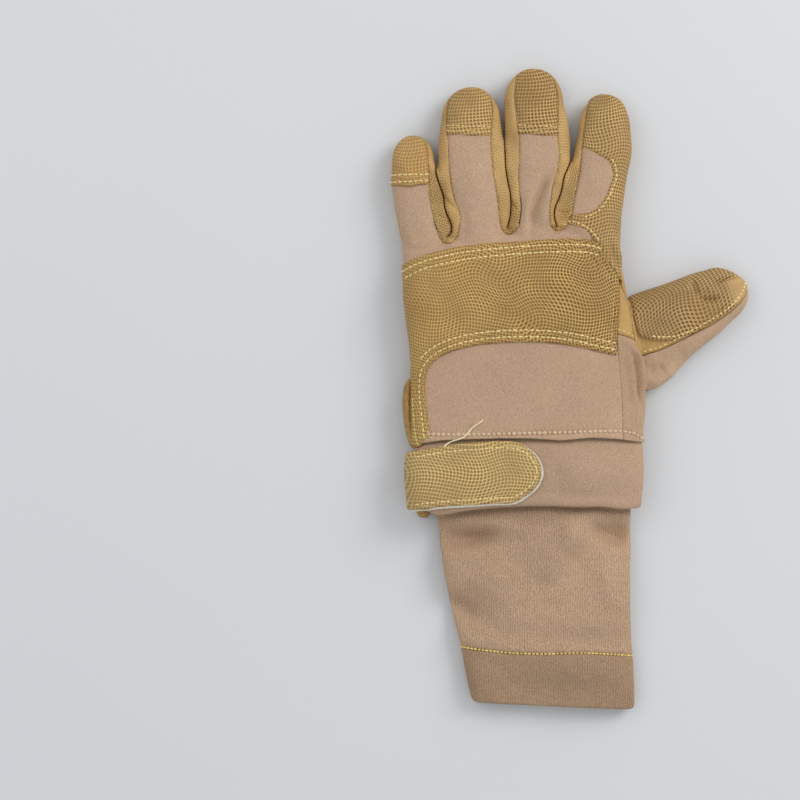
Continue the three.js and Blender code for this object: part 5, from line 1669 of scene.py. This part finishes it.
def stitch_tree():
    """Lays short beads of thread along the lines of a mesh."""
    tree = bpy.data.node_groups.new("stitch_row", "GeometryNodeTree")
    tree.interface.new_socket("Geometry", in_out="INPUT", socket_type="NodeSocketGeometry")
    for name in ("Pitch", "Length", "Thickness"):
        tree.interface.new_socket(name, in_out="INPUT", socket_type="NodeSocketFloat")
    tree.interface.new_socket("Thread", in_out="INPUT", socket_type="NodeSocketMaterial")
    tree.interface.new_socket("Geometry", in_out="OUTPUT", socket_type="NodeSocketGeometry")
    given = tree.nodes.new("NodeGroupInput").outputs
    curve = add_node(tree, "GeometryNodeMeshToCurve", {"Mesh": given["Geometry"]}).outputs[0]
    inputs = {"Curve": curve, "Length": given["Pitch"]}
    rows = add_node(tree, "GeometryNodeResampleCurve", inputs, mode="LENGTH").outputs[0]
    tangent = add_node(tree, "GeometryNodeInputTangent").outputs[0]
    inputs = {0: (-UNSTRAIGHT,) * 3, 1: (UNSTRAIGHT,) * 3, "Seed": 7}
    jitter = add_node(tree, "FunctionNodeRandomValue", inputs, data_type="FLOAT_VECTOR").outputs[0]
    way = add_node(tree, "ShaderNodeVectorMath", {0: tangent, 1: jitter}, operation="ADD").outputs[0]
    turned = add_node(tree, "FunctionNodeAlignRotationToVector", {"Vector": way}, axis="Z").outputs[0]
    bead = add_node(tree, "GeometryNodeMeshUVSphere", {"Segments": 8, "Rings": 6, "Radius": 0.5}).outputs[0]
    inputs = {0: given["Thickness"], 1: given["Thickness"], 2: given["Length"]}
    size = add_node(tree, "ShaderNodeCombineXYZ", inputs).outputs[0]
    inputs = {2: UNEVEN_SIZE[0], 3: UNEVEN_SIZE[1], "Seed": 3}
    uneven = add_node(tree, "FunctionNodeRandomValue", inputs, data_type="FLOAT").outputs[1]
    scale = add_node(tree, "ShaderNodeVectorMath", {0: size, 3: uneven}, operation="SCALE").outputs[0]
    inputs = {"Points": rows, "Instance": bead, "Rotation": turned, "Scale": scale}
    laid = add_node(tree, "GeometryNodeInstanceOnPoints", inputs).outputs[0]
    real = add_node(tree, "GeometryNodeRealizeInstances", {0: laid}).outputs[0]
    smooth = add_node(tree, "GeometryNodeSetShadeSmooth", {0: real}).outputs[0]
    inputs = {"Geometry": smooth, "Material": given["Thread"]}
    sewn = add_node(tree, "GeometryNodeSetMaterial", inputs).outputs[0]
    out = tree.nodes.new("NodeGroupOutput")
    tree.links.new(sewn, out.inputs[0])
    return tree


STITCH_ROW = stitch_tree()


def evenly(line, step=0.5):
    line = np.asarray(line)
    length = np.concatenate([[0], np.cumsum(np.linalg.norm(np.diff(line, axis=0), axis=1))])
    at = np.arange(0, length[-1], step)
    return np.column_stack([np.interp(at, length, line[:, k]) for k in range(2)])


def surface_of(pieces):
    trees = []
    for piece in pieces:
        points, faces = triangles_of(piece)
        trees.append(BVHTree.FromPolygons(points.tolist(), faces.tolist()))
    return trees


SEAM_REACH = 0.35  # a stitch that bridges two pieces rests on the higher one


def laid_on(line, trees, sink):
    """A line seen from above, dropped on to the highest of some surfaces."""
    placed_line = []
    for x, y in evenly(line):
        places = [Vector((x, y + aside, ABOVE)) for aside in (-SEAM_REACH, 0, SEAM_REACH)]
        hits = [tree.ray_cast(place, Vector((0, 0, -1)))[0] for tree in trees for place in places]
        heights = [hit.z for hit in hits if hit]
        if heights:
            placed_line.append((x, y, max(heights) - sink))
    return np.array(placed_line)


def thread_finish(name, color, dark):
    material, tree, shader = new_finish(name, 0.7)
    place = placed(tree)
    twist = noise(tree, place, 1.3, 1.0)
    tone = remap(tree, twist, 0.35, 0.65)
    tree.links.new(blend_colors(tree, tone, linear(dark), linear(color)), shader.inputs["Base Color"])
    shader.inputs["Sheen Weight"].default_value = 0.2
    return material


def stitches(name, lines, on, pitch, length, thickness, thread, sink=0.05):
    trees = surface_of(on)
    points, edges = [], []
    for line in lines:
        row = laid_on(line, trees, sink)
        edges += [(len(points) + k, len(points) + k + 1) for k in range(len(row) - 1)]
        points += row.tolist()
    mesh = bpy.data.meshes.new(name)
    mesh.from_pydata(np.array(points) * MM, edges, [])
    piece = bpy.data.objects.new(name, mesh)
    bpy.context.scene.collection.objects.link(piece)
    rows = piece.modifiers.new("rows", "NODES")
    rows.node_group = STITCH_ROW
    wanted = {"Pitch": pitch * MM, "Length": length * MM, "Thickness": thickness * MM, "Thread": thread}
    for item in STITCH_ROW.interface.items_tree:
        if item.in_out == "INPUT" and item.name in wanted:
            rows[item.identifier] = wanted[item.name]
    sewn = bpy.data.meshes.new_from_object(piece.evaluated_get(bpy.context.evaluated_depsgraph_get()))
    piece.modifiers.remove(rows)
    piece.data = sewn
    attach(piece, "root")
    return piece


cream_thread = thread_finish("cream_thread", (248, 228, 164), (222, 194, 126))
leather_thread = thread_finish("leather_thread", (236, 210, 148), (207, 178, 115))
yellow_thread = thread_finish("yellow_thread", (248, 224, 132), (216, 184, 96))
tan_thread = thread_finish("tan_thread", (220, 194, 160), (194, 165, 132))
stitches("knuckle_stitches", KNUCKLE_ROWS[:4], [knuckle_guard], 2.6, 2.2, 0.85, cream_thread)
stitches("knuckle_side_stitches", KNUCKLE_ROWS[4:], [knuckle_guard], 2.4, 1.5, 0.45, leather_thread)
cap_rows = [row for cap in CAPS.values() for row in cap["paths"]]
stitches("little_cap_stitches", cap_rows[:2], [CAPS["little_cap"]["piece"]], 2.4, 2.0, 0.8, cream_thread)
wide_caps = [CAPS["ring_cap"]["piece"], CAPS["middle_cap"]["piece"]]
stitches("cap_stitches", cap_rows[2:], wide_caps, 2.4, 1.7, 0.6, leather_thread)
stitches("index_stitches", INDEX_ROWS, [index_guard], 2.3, 1.7, 0.75, cream_thread)
stitches("strap_stitches", [strap_path], [wrist_strap], 2.5, 2.0, 0.75, cream_thread)
stitches("wrist_stitches", [PUCKER_LINE], [back, side_panel], PUCKER_PITCH, 2.2, 1.8, tan_thread,
         -0.1)
stitches("hem_stitches", [HEM_LINE[3:-3]], [gauntlet, gauntlet_hem], HEM_PITCH, 1.6, 0.95, yellow_thread,
         -0.15)
stitches("thumb_stitches", [THUMB_ROW, THUMB_LOWER_ROW], [thumb_leather, thumb_guard], 2.3, 1.7, 0.75,
         cream_thread)
GUSSET_ROW = bent(seen([(617.5, 330), (622, 331), (627, 333.5), (632, 336)]))
stitches("gusset_stitches", [GUSSET_ROW], [palm], 2.2, 1.6, 0.5, cream_thread)

green_thread = thread_finish("green_thread", (226, 224, 140), (186, 182, 96))
HEEL_ROWS = [
    bent(seen([(412.5, 400), (413, 412), (414, 424), (415.5, 436), (417.5, 444)])),
    bent(seen([(415, 437.3), (422, 437.6), (431, 437.2)])),
]
stitches("heel_stitches", HEEL_ROWS, [knuckle_guard, palm, back], 2.2, 2.0, 0.6, green_thread)

# Loose thread end
# The end of the wrist row's thread lies loose over the seam, about 24 mm long. It is one strand of the
# pale thread, too short to count as a cord.
LOOSE_END = seen([
    (482.5, 420), (479, 422.5), (475, 425), (470.5, 429), (466.5, 433.5), (463, 437), (457, 439.3),
    (450, 441.7), (445, 445), (443, 446.7),
])
THREAD_SIDES = 8
THREAD_RADIUS = 0.4
loose = laid_on(bent(LOOSE_END), surface_of([back, wrist_band, wrist_strap]), -0.6)
for _ in range(12):
    loose[1:-1, 2] = np.maximum(loose[1:-1, 2], (loose[:-2, 2] + loose[2:, 2]) / 2)
way = np.gradient(loose, axis=0)
way /= np.linalg.norm(way, axis=1)[:, None]
aside = np.cross(way, (0, 0, 1))
aside /= np.linalg.norm(aside, axis=1)[:, None]
above = np.cross(aside, way)
turn = 2 * np.pi * np.arange(THREAD_SIDES) / THREAD_SIDES
around = aside[:, None] * np.cos(turn)[:, None] + above[:, None] * np.sin(turn)[:, None]
tube = loose[:, None] + THREAD_RADIUS * around
loose_thread = closed_sleeve("loose_thread", tube)
loose_thread.data.shade_smooth()
loose_thread.data.materials.append(thread_finish("pale_thread", (246, 230, 196), (226, 206, 166)))
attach(loose_thread, "root")
